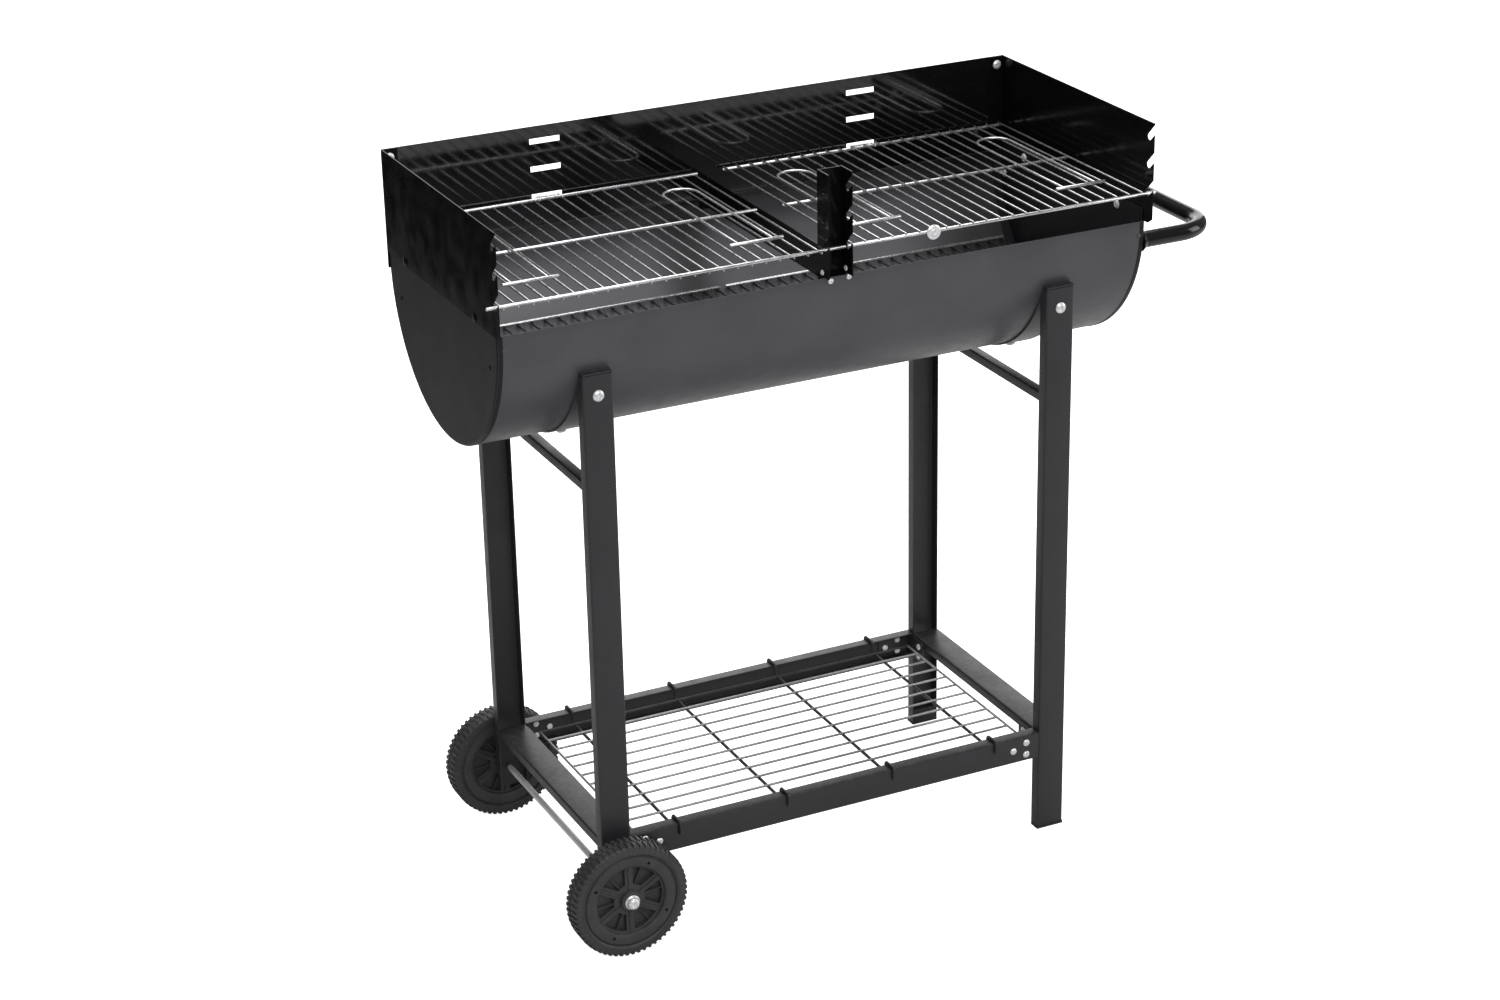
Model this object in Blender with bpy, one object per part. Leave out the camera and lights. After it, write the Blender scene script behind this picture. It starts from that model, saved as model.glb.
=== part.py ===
"""Barrel charcoal grill on a trolley frame: half-barrel fire bowl, three-sided wind guard, two cooking
grates, two charcoal grates, four-leg frame with a hooked wire shelf, two wheels on a through axle and
a push handle.

Frame: +X to the handle end (right), +Y to the rear (the guard's back panel), +Z up, floor at z = 0.
Metres. Everything is laid out from the middle of the fire bowl; the last step moves it along X so that
the origin is on the floor under the middle of the whole object's box.
"""
import math

import bmesh
import bpy
import numpy as np
from mathutils import Vector

# ---------------------------------------------------------------- shared dimensions (metres)
SIDES = ((-1, "left"), (1, "right"))     # sign along X
ROWS = ((-1, "front"), (1, "rear"))      # sign along Y
X_AXIS = (1, 0, 0)
Y_AXIS = (0, 1, 0)

GAP = 0.0003            # clearance between touching pieces
INSET = 0.0002          # set-back of a part from the face it is joined at
THROUGH = (-0.5, 0.5)   # extent of a box cut that runs right through a piece
CLEAR_R = 0.0033        # clearance hole radius

BOWL_R = 0.174          # fire bowl outer radius
BOWL_T = 0.0012         # sheet thickness of the bowl, caps, guard and divider
BOWL_IN_R = BOWL_R - BOWL_T
BOWL_Z = 0.799          # height of the bowl's centre line
RIM_Z = 0.807           # bowl rim
HALF_L = 0.425          # half length over the end caps
ARC_STEPS = 24

GUARD_Z = 0.933         # top of the wind guard
GUARD_FRONT = -0.188    # front edge of the guard's side panels
GUARD_BACK = 0.1743     # front face of the back panel
GUARD_BOLT_Y, GUARD_BOLT_Z = 0.112, 0.8115
CORNER_BOLT_X, CORNER_BOLT_Z = 0.4165, 0.922
NOTCH_Z = (0.844, 0.879, 0.914)          # three grate heights
NOTCH_Y = -0.177        # centre of the round end of each notch
NOTCH_R = 0.0045        # half width of a notch
SLOT_X = 0.217          # back panel slots, one column each side

WIRE = 0.0018           # half thickness of the grate and shelf wires
GRATE_END_X = 0.437     # outer end of the cooking grates' front wires

LEG_X, LEG_Y = 0.325, 0.176              # outer faces of the legs
LEG_W, LEG_D, LEG_T = 0.038, 0.016, 0.0015
LEG_MID_X = LEG_X - LEG_W / 2
LEG_IN_Y = LEG_Y - LEG_D                 # inner edge of the leg channel
LEG_WEB_Y = LEG_Y - LEG_T                # inner face of the leg channel's web
LEG_TOP = 0.741
LEG_BOLT_Z = 0.716

STRAP_T = 0.002
STRAP_IN_R = BOWL_R + GAP
STRAP_OUT_R = STRAP_IN_R + STRAP_T
STRAP_BOLT_ANGLE = math.radians(19.4)    # from straight down
TAB_GAP = 0.0008        # between a leg's web and the strap's tab

RAIL_Z0, RAIL_Z1 = 0.105, 0.141          # shelf rails
RAIL_X = LEG_X - LEG_W - GAP             # half length of the front and rear rails

AXLE_X, AXLE_R = -LEG_MID_X, 0.004
AXLE_CLEAR_R = AXLE_R + 0.0004
WHEEL_R, WHEEL_W = 0.075, 0.030
WHEEL_OUT = 0.217       # outer face of each wheel

HANDLE_R, HANDLE_X, HANDLE_Y, HANDLE_Z = 0.0105, 0.533, 0.163, 0.779
HANDLE_BORE_R = 0.0034

ORIGIN_X = (HANDLE_X + HANDLE_R - GRATE_END_X) / 2   # middle of the whole box, from the bowl's middle


# ---------------------------------------------------------------- materials
def material(name, colour, roughness, metallic):
    mat = bpy.data.materials.new(name)
    mat.use_nodes = True
    shader = mat.node_tree.nodes["Principled BSDF"]
    shader.inputs["Base Color"].default_value = (*colour, 1.0)
    shader.inputs["Roughness"].default_value = roughness
    shader.inputs["Metallic"].default_value = metallic
    return mat


def bowl_paint(name):
    return material(name + "_paint", colour=(0.075, 0.075, 0.085), roughness=0.42, metallic=0.3)


def gloss_paint(name):
    return material(name + "_paint", colour=(0.006, 0.006, 0.007), roughness=0.12, metallic=0.2)


def satin_paint(name):
    return material(name + "_paint", colour=(0.03, 0.03, 0.033), roughness=0.35, metallic=0.2)


def chrome(name):
    return material(name + "_chrome", colour=(0.72, 0.72, 0.74), roughness=0.18, metallic=1.0)


def dark_wire(name):
    return material(name + "_wire", colour=(0.05, 0.05, 0.055), roughness=0.4, metallic=0.6)


def zinc(name):
    return material(name + "_zinc", colour=(0.75, 0.76, 0.78), roughness=0.3, metallic=1.0)


def plastic(name):
    return material(name + "_plastic", colour=(0.045, 0.045, 0.047), roughness=0.55, metallic=0.0)


# ---------------------------------------------------------------- layout helpers
def span(sign, a, b):
    """The range a to b, mirrored when sign is -1, in rising order."""
    return sorted((sign * a, sign * b))


def spaced(start, stop, count):
    return [start + (stop - start) * i / (count - 1) for i in range(count)]


def arc(radius, start=-math.pi / 2, end=math.pi / 2):
    """(y, z) points about the bowl's centre line; angles run from straight down towards +Y."""
    angles = [start + (end - start) * i / ARC_STEPS for i in range(ARC_STEPS + 1)]
    return [(radius * math.sin(t), BOWL_Z - radius * math.cos(t)) for t in angles]


# ---------------------------------------------------------------- mesh helpers
def new_object(name, bm, mat=None, smooth=None, origin=(0, 0, 0)):
    """An object with its origin at `origin`, from a mesh in world metres. smooth is in degrees."""
    bmesh.ops.remove_doubles(bm, verts=bm.verts, dist=1e-7)
    bmesh.ops.recalc_face_normals(bm, faces=bm.faces)
    if any(origin):
        bmesh.ops.translate(bm, verts=bm.verts, vec=-Vector(origin))
    mesh = bpy.data.meshes.new(name)
    bm.to_mesh(mesh)
    bm.free()
    ob = bpy.data.objects.new(name, mesh)
    ob.location = origin
    bpy.context.scene.collection.objects.link(ob)
    if mat:
        mesh.materials.append(mat)
    if smooth:
        mesh.shade_smooth()
        mesh.set_sharp_from_angle(angle=math.radians(smooth))
    return ob


# step to the neighbouring cell, and the cell corners of the face between the two
CELL_FACES = (
    ((-1, 0, 0), ((0, 0, 0), (0, 0, 1), (0, 1, 1), (0, 1, 0))),
    ((1, 0, 0), ((1, 0, 0), (1, 1, 0), (1, 1, 1), (1, 0, 1))),
    ((0, -1, 0), ((0, 0, 0), (1, 0, 0), (1, 0, 1), (0, 0, 1))),
    ((0, 1, 0), ((0, 1, 0), (0, 1, 1), (1, 1, 1), (1, 1, 0))),
    ((0, 0, -1), ((0, 0, 0), (0, 1, 0), (1, 1, 0), (1, 0, 0))),
    ((0, 0, 1), ((0, 0, 1), (1, 0, 1), (1, 1, 1), (0, 1, 1))),
)


def grid_solid(xs, ys, zs, filled, place=lambda x, y, z: (x, y, z), wrap=False):
    """Surface of the filled cells of a grid. wrap joins the last y back to the first (a full turn)."""
    bm = bmesh.new()
    verts = {}

    def vert(i, j, k):
        if wrap:
            j %= len(ys)
        if (i, j, k) not in verts:
            verts[i, j, k] = bm.verts.new(place(xs[i], ys[j], zs[k]))
        return verts[i, j, k]

    def is_filled(i, j, k):
        if wrap:
            j %= len(ys)
        inside = all(0 <= n < size for n, size in zip((i, j, k), filled.shape))
        return inside and filled[i, j, k]

    for i, j, k in np.ndindex(filled.shape):
        if not filled[i, j, k]:
            continue
        for (di, dj, dk), corners in CELL_FACES:
            if not is_filled(i + di, j + dj, k + dk):
                bm.faces.new([vert(i + a, j + b, k + c) for a, b, c in corners])
    return bm


def box_solid(adds, cuts=()):
    """One body from axis-aligned boxes (x0, x1, y0, y1, z0, z1), less the boxes in cuts."""
    boxes = [*adds, *cuts]
    lines = [sorted({round(v, 7) for box in boxes for v in box[2 * a:2 * a + 2]}) for a in range(3)]
    middles = [np.array([(lo + hi) / 2 for lo, hi in zip(c, c[1:])]) for c in lines]
    filled = np.zeros([len(m) for m in middles], bool)
    for group, value in ((adds, True), (cuts, False)):
        for box in group:
            within = [(m > box[2 * a]) & (m < box[2 * a + 1]) for a, m in enumerate(middles)]
            filled[np.ix_(*within)] = value
    bm = grid_solid(*lines, filled)
    bmesh.ops.dissolve_limit(bm, angle_limit=0.001, verts=bm.verts, edges=bm.edges,
                             use_dissolve_boundaries=False)
    return bm


def prism(outline, axis, start, end):
    """A closed outline extruded along "x" or "z"; it holds (y, z) for x and (x, y) for z."""
    bm = bmesh.new()

    def ring(t):
        return [bm.verts.new((t, *p) if axis == "x" else (*p, t)) for p in outline]

    low = ring(start)
    high = ring(end)
    bm.faces.new(low)
    bm.faces.new(high[::-1])
    for i in range(len(outline)):
        j = (i + 1) % len(outline)
        bm.faces.new((low[i], high[i], high[j], low[j]))
    return bm


def turned(profile, centre, axis, steps):
    """A solid of revolution; profile holds (distance along axis, radius)."""
    axis = Vector(axis).normalized()
    across = axis.orthogonal().normalized()
    up = axis.cross(across)
    bm = bmesh.new()
    rings = []
    for distance, radius in profile:
        middle = Vector(centre) + axis * distance
        if radius < 1e-9:
            rings.append([bm.verts.new(middle)])
            continue
        angles = [2 * math.pi * i / steps for i in range(steps)]
        rings.append([bm.verts.new(middle + (across * math.cos(t) + up * math.sin(t)) * radius)
                      for t in angles])
    for p, q in zip(rings, rings[1:]):
        for i in range(steps):
            j = (i + 1) % steps
            if len(p) == 1:
                bm.faces.new((p[0], q[i], q[j]))
            elif len(q) == 1:
                bm.faces.new((p[i], q[0], p[j]))
            else:
                bm.faces.new((p[i], q[i], q[j], p[j]))
    for ring in (rings[0], rings[-1]):
        if len(ring) > 1:
            bm.faces.new(ring)
    return bm


def cylinder(centre, axis, start, end, radius, steps=12):
    return turned([(start, radius), (end, radius)], centre, axis, steps)


def swept(path, radius, steps):
    """A round bar along a path of points, with flat ends."""
    bm = bmesh.new()
    points = [Vector(p) for p in path]
    rings = []
    normal = None
    for i, point in enumerate(points):
        ahead = points[min(i + 1, len(points) - 1)]
        tangent = (ahead - points[max(i - 1, 0)]).normalized()
        if normal is None:
            normal = tangent.orthogonal().normalized()
        normal = (normal - tangent * normal.dot(tangent)).normalized()
        binormal = tangent.cross(normal)
        angles = [2 * math.pi * k / steps for k in range(steps)]
        rings.append([bm.verts.new(point + (normal * math.cos(t) + binormal * math.sin(t)) * radius)
                      for t in angles])
    for p, q in zip(rings, rings[1:]):
        for k in range(steps):
            j = (k + 1) % steps
            bm.faces.new((p[k], p[j], q[j], q[k]))
    bm.faces.new(rings[0][::-1])
    bm.faces.new(rings[-1])
    return bm


def combine(ob, operation, bm, tag):
    """A Boolean modifier on ob with a hidden helper solid."""
    helper = new_object(f"{ob.name}.{tag}", bm)
    helper.hide_render = True
    helper.display_type = "WIRE"
    modifier = ob.modifiers.new(tag, "BOOLEAN")
    modifier.operation = operation
    modifier.object = helper
    modifier.solver = "EXACT"


def cut(ob, bm, tag):
    combine(ob, "DIFFERENCE", bm, tag)


def add(ob, bm, tag):
    combine(ob, "UNION", bm, tag)


def bolt(name, centre, axis, grip, head_r=0.0062, shank_r=0.003, nut_r=0.0055, nut_h=0.0045):
    """Domed head, shank and nut; head and nut clamp the sheets between 0 and grip along the axis."""
    head_h = 0.0035
    nut_start = grip + GAP
    profile = [
        (-head_h - GAP, 0.0), (-head_h - GAP, head_r * 0.5), (-head_h * 0.5 - GAP, head_r * 0.9),
        (-GAP, head_r), (-GAP, shank_r),
        (nut_start, shank_r), (nut_start, nut_r), (nut_start + nut_h, nut_r), (nut_start + nut_h, 0.0),
    ]
    new_object(name, turned(profile, centre, axis, 10), zinc(name), smooth=40, origin=centre)


# ---------------------------------------------------------------- fire bowl
CAP_TAB_Y, CAP_TAB_Z = 0.168, 0.822      # the end caps' straight tops, behind the guard
CAP_FLANGE = 0.013                       # reach of the flange in from the cap's outer face


def down_and_out(row):
    """Direction from the bowl's centre line to the front or rear strap bolts."""
    angle = row * STRAP_BOLT_ANGLE
    return Vector((0, math.sin(angle), -math.cos(angle)))


def strap_bolt_drill(side, row):
    return cylinder((side * LEG_MID_X, 0, BOWL_Z), down_and_out(row), 0.165, 0.185, 0.0029)


def cut_guard_bolt_holes(ob, side):
    for row, row_name in ROWS:
        centre = (side * HALF_L, row * GUARD_BOLT_Y, GUARD_BOLT_Z)
        cut(ob, cylinder(centre, X_AXIS, -0.01, 0.01, CLEAR_R), f"hole_{row_name}")


def build_shell():
    outer = [(-BOWL_R, RIM_Z), *arc(BOWL_R), (BOWL_R, RIM_Z)]
    inner = [(-BOWL_IN_R, RIM_Z), *arc(BOWL_IN_R), (BOWL_IN_R, RIM_Z)]
    half = HALF_L - BOWL_T - GAP
    shell = new_object("barrel_shell", prism(outer + inner[::-1], "x", -half, half),
                       bowl_paint("bowl"), smooth=30)
    for side, side_name in SIDES:
        for row, row_name in ROWS:
            cut(shell, strap_bolt_drill(side, row), f"hole_{side_name}_{row_name}")


def build_end_cap(side, side_name):
    """Half disc with a turned-in flange."""
    shoulder_z = RIM_Z - 0.0005
    face = [(-CAP_TAB_Y, CAP_TAB_Z), (-CAP_TAB_Y, RIM_Z), (-BOWL_R, shoulder_z), *arc(BOWL_R),
            (BOWL_R, shoulder_z), (CAP_TAB_Y, RIM_Z), (CAP_TAB_Y, CAP_TAB_Z)]
    cap = new_object(f"end_cap_{side_name}", prism(face, "x", *span(side, HALF_L - BOWL_T, HALF_L)),
                     bowl_paint("cap"), smooth=30)
    flange_r = BOWL_IN_R - GAP
    flange = arc(flange_r) + arc(flange_r - BOWL_T, math.pi / 2, -math.pi / 2)
    add(cap, prism(flange, "x", *span(side, HALF_L - CAP_FLANGE, HALF_L - BOWL_T / 2)), "flange")
    cut_guard_bolt_holes(cap, side)
    if side > 0:
        for row, row_name in ROWS:
            centre = (HALF_L, row * HANDLE_Y, HANDLE_Z)
            cut(cap, cylinder(centre, X_AXIS, -0.01, 0.01, HANDLE_BORE_R), f"handle_hole_{row_name}")


# ---------------------------------------------------------------- wind guard
PANEL_OUT = HALF_L + GAP + BOWL_T        # outer face of the side panels
PANEL_Z0 = RIM_Z - 0.001
PANEL_CORNER_Y, PANEL_CORNER_Z = -0.179, 0.812   # sloping corner at the foot of the front edge
PANEL_FLANGE = 0.020
BACK_Z0 = 0.785
SLOT_W, SLOT_H = 0.040, 0.007


def notched_edge(low, high):
    """(y, z) down a plate's front edge; the notches run back and down at 45 degrees."""
    points = [(GUARD_FRONT, high)]
    for z in reversed(NOTCH_Z):
        mouth_z = z + NOTCH_Y - GUARD_FRONT
        half_mouth = NOTCH_R * math.sqrt(2)
        points.append((GUARD_FRONT, mouth_z + half_mouth))
        for i in range(7):
            # half circle at the notch's closed end
            t = math.radians(45 - 180 * i / 6)
            points.append((NOTCH_Y + NOTCH_R * math.cos(t), z + NOTCH_R * math.sin(t)))
        points.append((GUARD_FRONT, mouth_z - half_mouth))
    points.append((GUARD_FRONT, low))
    return points


def corner_drill(side):
    centre = (side * CORNER_BOLT_X, GUARD_BACK, CORNER_BOLT_Z)
    return cylinder(centre, Y_AXIS, -0.01, 0.01, CLEAR_R)


def build_guard_side(side, side_name):
    back = GUARD_BACK - GAP
    outline = notched_edge(PANEL_CORNER_Z, GUARD_Z)
    outline += [(PANEL_CORNER_Y, PANEL_Z0), (back, PANEL_Z0), (back, GUARD_Z)]
    panel = new_object(f"wind_guard_{side_name}",
                       prism(outline, "x", *span(side, HALF_L + GAP, PANEL_OUT)), gloss_paint("guard"))
    flange_x = span(side, PANEL_OUT - BOWL_T / 2, PANEL_OUT - PANEL_FLANGE)
    add(panel, box_solid([(*flange_x, back - BOWL_T, back, RIM_Z + 0.002, GUARD_Z)]), "flange")
    cut_guard_bolt_holes(panel, side)
    cut(panel, corner_drill(side), "corner_hole")


def build_guard_back():
    slots = [(x - SLOT_W / 2, x + SLOT_W / 2, *THROUGH, z - SLOT_H / 2, z + SLOT_H / 2)
             for x in (-SLOT_X, SLOT_X) for z in NOTCH_Z]
    sheet = (-PANEL_OUT, PANEL_OUT, GUARD_BACK, GUARD_BACK + BOWL_T, BACK_Z0, GUARD_Z)
    panel = new_object("wind_guard_back", box_solid([sheet], slots), gloss_paint("guard_back"))
    for side, side_name in SIDES:
        cut(panel, corner_drill(side), f"corner_hole_{side_name}")


def build_guard_bolts(side, side_name):
    grip = 2 * BOWL_T + GAP
    for row, row_name in ROWS:
        centre = (side * (HALF_L - BOWL_T), row * GUARD_BOLT_Y, GUARD_BOLT_Z)
        bolt(f"guard_bolt_{side_name}_{row_name}", centre, (side, 0, 0), grip)
    centre = (side * CORNER_BOLT_X, GUARD_BACK - GAP - BOWL_T, CORNER_BOLT_Z)
    bolt(f"guard_corner_bolt_{side_name}", centre, Y_AXIS, grip)


# ---------------------------------------------------------------- centre post and divider
POST_W, POST_T = 0.016, 0.0015           # half width and sheet thickness
POST_FRONT = -(BOWL_IN_R - 0.0014)       # front edge inside the bowl
POST_BACK = -0.160
POST_Z0, POST_Z1 = 0.782, 0.936
POST_STEP_Z = RIM_Z + 0.002              # where the cheeks step out over the rim
WEB_SIDE_INSET, WEB_END_INSET = 0.0003, 0.0005
EAR_W, EAR_TOP = 0.013, 0.8045
DIV_BACK = BOWL_IN_R - 0.0006
DIV_Z0, DIV_Z1 = 0.794, 0.834
DIV_FLANGE_X = -0.0125


def build_centre_post():
    """Two notched cheeks, a web between their rear edges, and two ears inside the bowl's front."""
    cheek = notched_edge(POST_STEP_Z, POST_Z1)
    cheek += [(POST_FRONT, POST_STEP_Z), (POST_FRONT, POST_Z0), (POST_BACK, POST_Z0),
              (POST_BACK, POST_Z1)]
    post = new_object("centre_post", prism(cheek, "x", -POST_W, -POST_W + POST_T), gloss_paint("post"))
    add(post, prism(cheek, "x", POST_W - POST_T, POST_W), "right_cheek")
    web_x = POST_W - WEB_SIDE_INSET
    add(post, box_solid([(-web_x, web_x, POST_BACK - POST_T, POST_BACK - INSET,
                          POST_Z0 + WEB_END_INSET, POST_Z1 - WEB_END_INSET)]), "web")
    for side, side_name in SIDES:
        ear = (*span(side, POST_W - 0.0005, POST_W + EAR_W), POST_FRONT + INSET, POST_FRONT + POST_T,
               POST_Z0 + WEB_END_INSET, EAR_TOP)
        add(post, box_solid([ear]), f"ear_{side_name}")


def build_divider():
    """Upright strip on the middle line with a flange to the left at each end."""
    half = BOWL_T / 2
    front = POST_BACK + GAP
    new_object("centre_divider", box_solid([
        (-half, half, front, DIV_BACK, DIV_Z0, DIV_Z1),
        (DIV_FLANGE_X, half, DIV_BACK - BOWL_T, DIV_BACK, DIV_Z0, RIM_Z - 0.001),
        (DIV_FLANGE_X, half, front, front + BOWL_T, DIV_Z0, DIV_Z1),
    ]), gloss_paint("divider"))


# ---------------------------------------------------------------- grates
GRATE_Z = 0.8428
GRATE_REAR = 0.166
GRATE_FRONT_WIRE = 0.0022                # half depth of the front wire
GRATE_FRONT_X = {-1: (-GRATE_END_X, 0.012), 1: (0.0137, GRATE_END_X)}
# the next three are distances from the bowl's middle
GRATE_CROSS_X = (0.0175, 0.4195)
GRATE_ROD_X = (0.0195, 0.4165)
LOOP_X = (0.078, 0.362)
LOOP_FRONT, LOOP_REAR = -0.124, 0.104
LOOP_W, LOOP_FRONT_W = 0.0225, 0.034     # half widths
COAL_Y, COAL_Z = 0.1365, 0.700
COAL_CROSS_X = (0.0035, 0.4085)
COAL_ROD_X = (0.0075, 0.4045)
ROD_COUNT = 23


def wire_x(x0, x1, y, z):
    return (x0, x1, y - WIRE, y + WIRE, z - WIRE, z + WIRE)


def wire_y(x, y0, y1, z):
    return (x - WIRE, x + WIRE, y0, y1, z - WIRE, z + WIRE)


def build_cooking_grate(side, side_name):
    level = (GRATE_Z - WIRE, GRATE_Z + WIRE)
    parts = [(*GRATE_FRONT_X[side], NOTCH_Y - GRATE_FRONT_WIRE, NOTCH_Y + GRATE_FRONT_WIRE, *level)]
    for y in (-0.002, GRATE_REAR):
        parts.append(wire_x(*span(side, *GRATE_CROSS_X), y, GRATE_Z))
    for x in spaced(*GRATE_ROD_X, ROD_COUNT):
        parts.append(wire_y(side * x, NOTCH_Y, GRATE_REAR, GRATE_Z))
    # rear tab in the back panel's lowest slot
    tab_x = side * SLOT_X
    parts.append((tab_x - 0.017, tab_x + 0.017, GRATE_REAR, GUARD_BACK + 0.0014, *level))
    for distance in LOOP_X:
        x = side * distance
        for dx in (-LOOP_W, LOOP_W):
            parts.append(wire_y(x + dx, LOOP_FRONT, LOOP_REAR, GRATE_Z))
        parts.append(wire_x(x - LOOP_W - WIRE, x + LOOP_W + WIRE, LOOP_REAR, GRATE_Z))
        parts.append(wire_x(x - LOOP_FRONT_W, x + LOOP_FRONT_W, LOOP_FRONT, GRATE_Z))
    new_object(f"cooking_grate_{side_name}", box_solid(parts), chrome("grate"),
               origin=(side * 0.2165, NOTCH_Y, GRATE_Z))


def build_grate_button():
    """Round button on the right grate's front wire."""
    profile = [(0, 0.0), (0, 0.0085), (0.0015, 0.0092), (0.0030, 0.0070), (0.0042, 0.0028),
               (0.0045, 0.0)]
    centre = (0.127, NOTCH_Y - GRATE_FRONT_WIRE - GAP, GRATE_Z)
    new_object("grate_button", turned(profile, centre, (0, -1, 0), 14), zinc("button"), smooth=50,
               origin=centre)


def build_charcoal_grate(side, side_name):
    parts = [wire_x(*span(side, *COAL_CROSS_X), y, COAL_Z) for y in (-COAL_Y, 0.0, COAL_Y)]
    for x in spaced(*COAL_ROD_X, ROD_COUNT):
        parts.append(wire_y(side * x, -COAL_Y, COAL_Y, COAL_Z))
    new_object(f"charcoal_grate_{side_name}", box_solid(parts), dark_wire("coal"),
               origin=(side * sum(COAL_CROSS_X) / 2, 0, COAL_Z))


# ---------------------------------------------------------------- frame
LEFT_LEG_Z = 0.050      # the left legs stop above the floor, the wheels carry that end
FOOT_H, PLUG_TOP = 0.004, 0.022
TAB_Z0, TAB_SIDE_INSET = 0.700, 0.0025
CROSS_Z, CROSS_W, CROSS_H = 0.590, 0.007, 0.006  # upper cross bars: centre, half width and height
SIDE_RAIL_H = 0.012
BRACKET_L, BRACKET_Y = 0.046, 0.128      # leaf along X, inner end of the leaf along Y
BRACKET_INSET = 0.003


def build_leg(side, side_name, row, row_name):
    """Channel, open towards the grill's middle line."""
    x0, x1 = span(side, LEG_X - LEG_W, LEG_X)
    outer, inner, web = row * LEG_Y, row * LEG_IN_Y, row * LEG_WEB_Y
    section = [(x0, inner), (x0, outer), (x1, outer), (x1, inner),
               (x1 - LEG_T, inner), (x1 - LEG_T, web), (x0 + LEG_T, web), (x0 + LEG_T, inner)]
    bottom = LEFT_LEG_Z if side < 0 else FOOT_H
    leg = new_object(f"leg_{row_name}_{side_name}", prism(section, "z", bottom, LEG_TOP),
                     satin_paint("leg"))
    middle_x = side * LEG_MID_X
    web_middle = row * (LEG_Y - LEG_T / 2)
    cut(leg, cylinder((middle_x, 0, BOWL_Z), X_AXIS, -0.05, 0.05, STRAP_OUT_R + 0.0005, steps=64),
        "bowl_clearance")
    cut(leg, cylinder((middle_x, web_middle, LEG_BOLT_Z), Y_AXIS, -0.006, 0.006, CLEAR_R), "bolt_hole")
    if side < 0:
        cut(leg, cylinder((AXLE_X, web_middle, WHEEL_R), Y_AXIS, -0.006, 0.006, AXLE_CLEAR_R, steps=16),
            "axle_hole")
    # head outside, nut behind the strap's tab
    bolt(f"leg_bolt_{row_name}_{side_name}", (middle_x, outer, LEG_BOLT_Z), (0, -row, 0),
         LEG_T + TAB_GAP + STRAP_T)


def build_foot_plug(row, row_name):
    """Flat foot under a right leg, with a block standing up inside the channel."""
    x0, x1 = LEG_X - LEG_W, LEG_X
    new_object(f"foot_plug_{row_name}_right", box_solid([
        (x0, x1, *span(row, LEG_IN_Y, LEG_Y), 0.0, FOOT_H - GAP),
        (x0 + LEG_T + GAP, x1 - LEG_T - GAP, *span(row, LEG_IN_Y + GAP, LEG_WEB_Y - GAP),
         0.0, PLUG_TOP),
    ]), plastic("foot"))


def build_saddle_strap(side, side_name):
    """Hugs the bowl from leg to leg, its ends turned out over the leg tops and down inside the legs."""
    x0, x1 = span(side, LEG_X - LEG_W, LEG_X)
    ledge_z = LEG_TOP + GAP
    top = ledge_z + STRAP_T
    end_angle = math.acos((BOWL_Z - top) / STRAP_OUT_R)
    section = arc(STRAP_OUT_R, -end_angle, end_angle) + arc(STRAP_IN_R, end_angle, -end_angle)
    strap = new_object(f"saddle_strap_{side_name}", prism(section, "x", x0, x1), satin_paint("strap"),
                       smooth=30)
    ledge_in = STRAP_IN_R * math.sin(end_angle) + 0.0006
    tab_out = LEG_WEB_Y - TAB_GAP
    for row, row_name in ROWS:
        add(strap, box_solid([(x0 + INSET, x1 - INSET, *span(row, LEG_Y - INSET, ledge_in),
                               ledge_z, top - INSET)]), f"ledge_{row_name}")
        add(strap, box_solid([(x0 + TAB_SIDE_INSET, x1 - TAB_SIDE_INSET,
                               *span(row, tab_out, tab_out - STRAP_T),
                               TAB_Z0, ledge_z + 0.001)]), f"tab_{row_name}")
        hole = (side * LEG_MID_X, row * (tab_out - STRAP_T / 2), LEG_BOLT_Z)
        cut(strap, cylinder(hole, Y_AXIS, -0.006, 0.006, CLEAR_R), f"tab_hole_{row_name}")
        cut(strap, strap_bolt_drill(side, row), f"bowl_hole_{row_name}")
        # head outside, nut inside the bowl
        outward = down_and_out(row)
        seat = Vector((side * LEG_MID_X, 0, BOWL_Z)) + outward * (STRAP_OUT_R + INSET)
        bolt(f"strap_bolt_{side_name}_{row_name}", seat, -outward, STRAP_T + GAP + BOWL_T + 0.0008,
             head_r=0.006, shank_r=0.0025, nut_r=0.0045, nut_h=0.0035)


def build_crossbar(side, side_name):
    """Channel, open below, between the legs under the bowl."""
    x = side * LEG_MID_X
    half = LEG_WEB_Y - GAP
    wall_x = CROSS_W - LEG_T
    new_object(f"upper_crossbar_{side_name}", box_solid(
        [(x - CROSS_W, x + CROSS_W, -half, half, CROSS_Z - CROSS_H, CROSS_Z + CROSS_H)],
        [(x - wall_x, x + wall_x, *THROUGH, 0, CROSS_Z + CROSS_H - LEG_T)]), satin_paint("crossbar"))


def build_side_rail(side, side_name):
    """Channel with its web on top and its flanges down."""
    x0, x1 = span(side, LEG_X - LEG_W, LEG_X)
    half = LEG_IN_Y - GAP
    new_object(f"shelf_rail_{side_name}", box_solid(
        [(x0, x1, -half, half, RAIL_Z1 - SIDE_RAIL_H, RAIL_Z1)],
        [(x0 + LEG_T, x1 - LEG_T, *THROUGH, 0, RAIL_Z1 - LEG_T)]), satin_paint("rail"))


def build_long_rail(row, row_name):
    """Front or rear channel, open towards the middle."""
    new_object(f"shelf_rail_{row_name}", box_solid(
        [(-RAIL_X, RAIL_X, *span(row, LEG_IN_Y, LEG_Y), RAIL_Z0, RAIL_Z1)],
        [(*THROUGH, *span(row, 0, LEG_WEB_Y), RAIL_Z0 + LEG_T, RAIL_Z1 - LEG_T)]), satin_paint("rail"))


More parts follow.
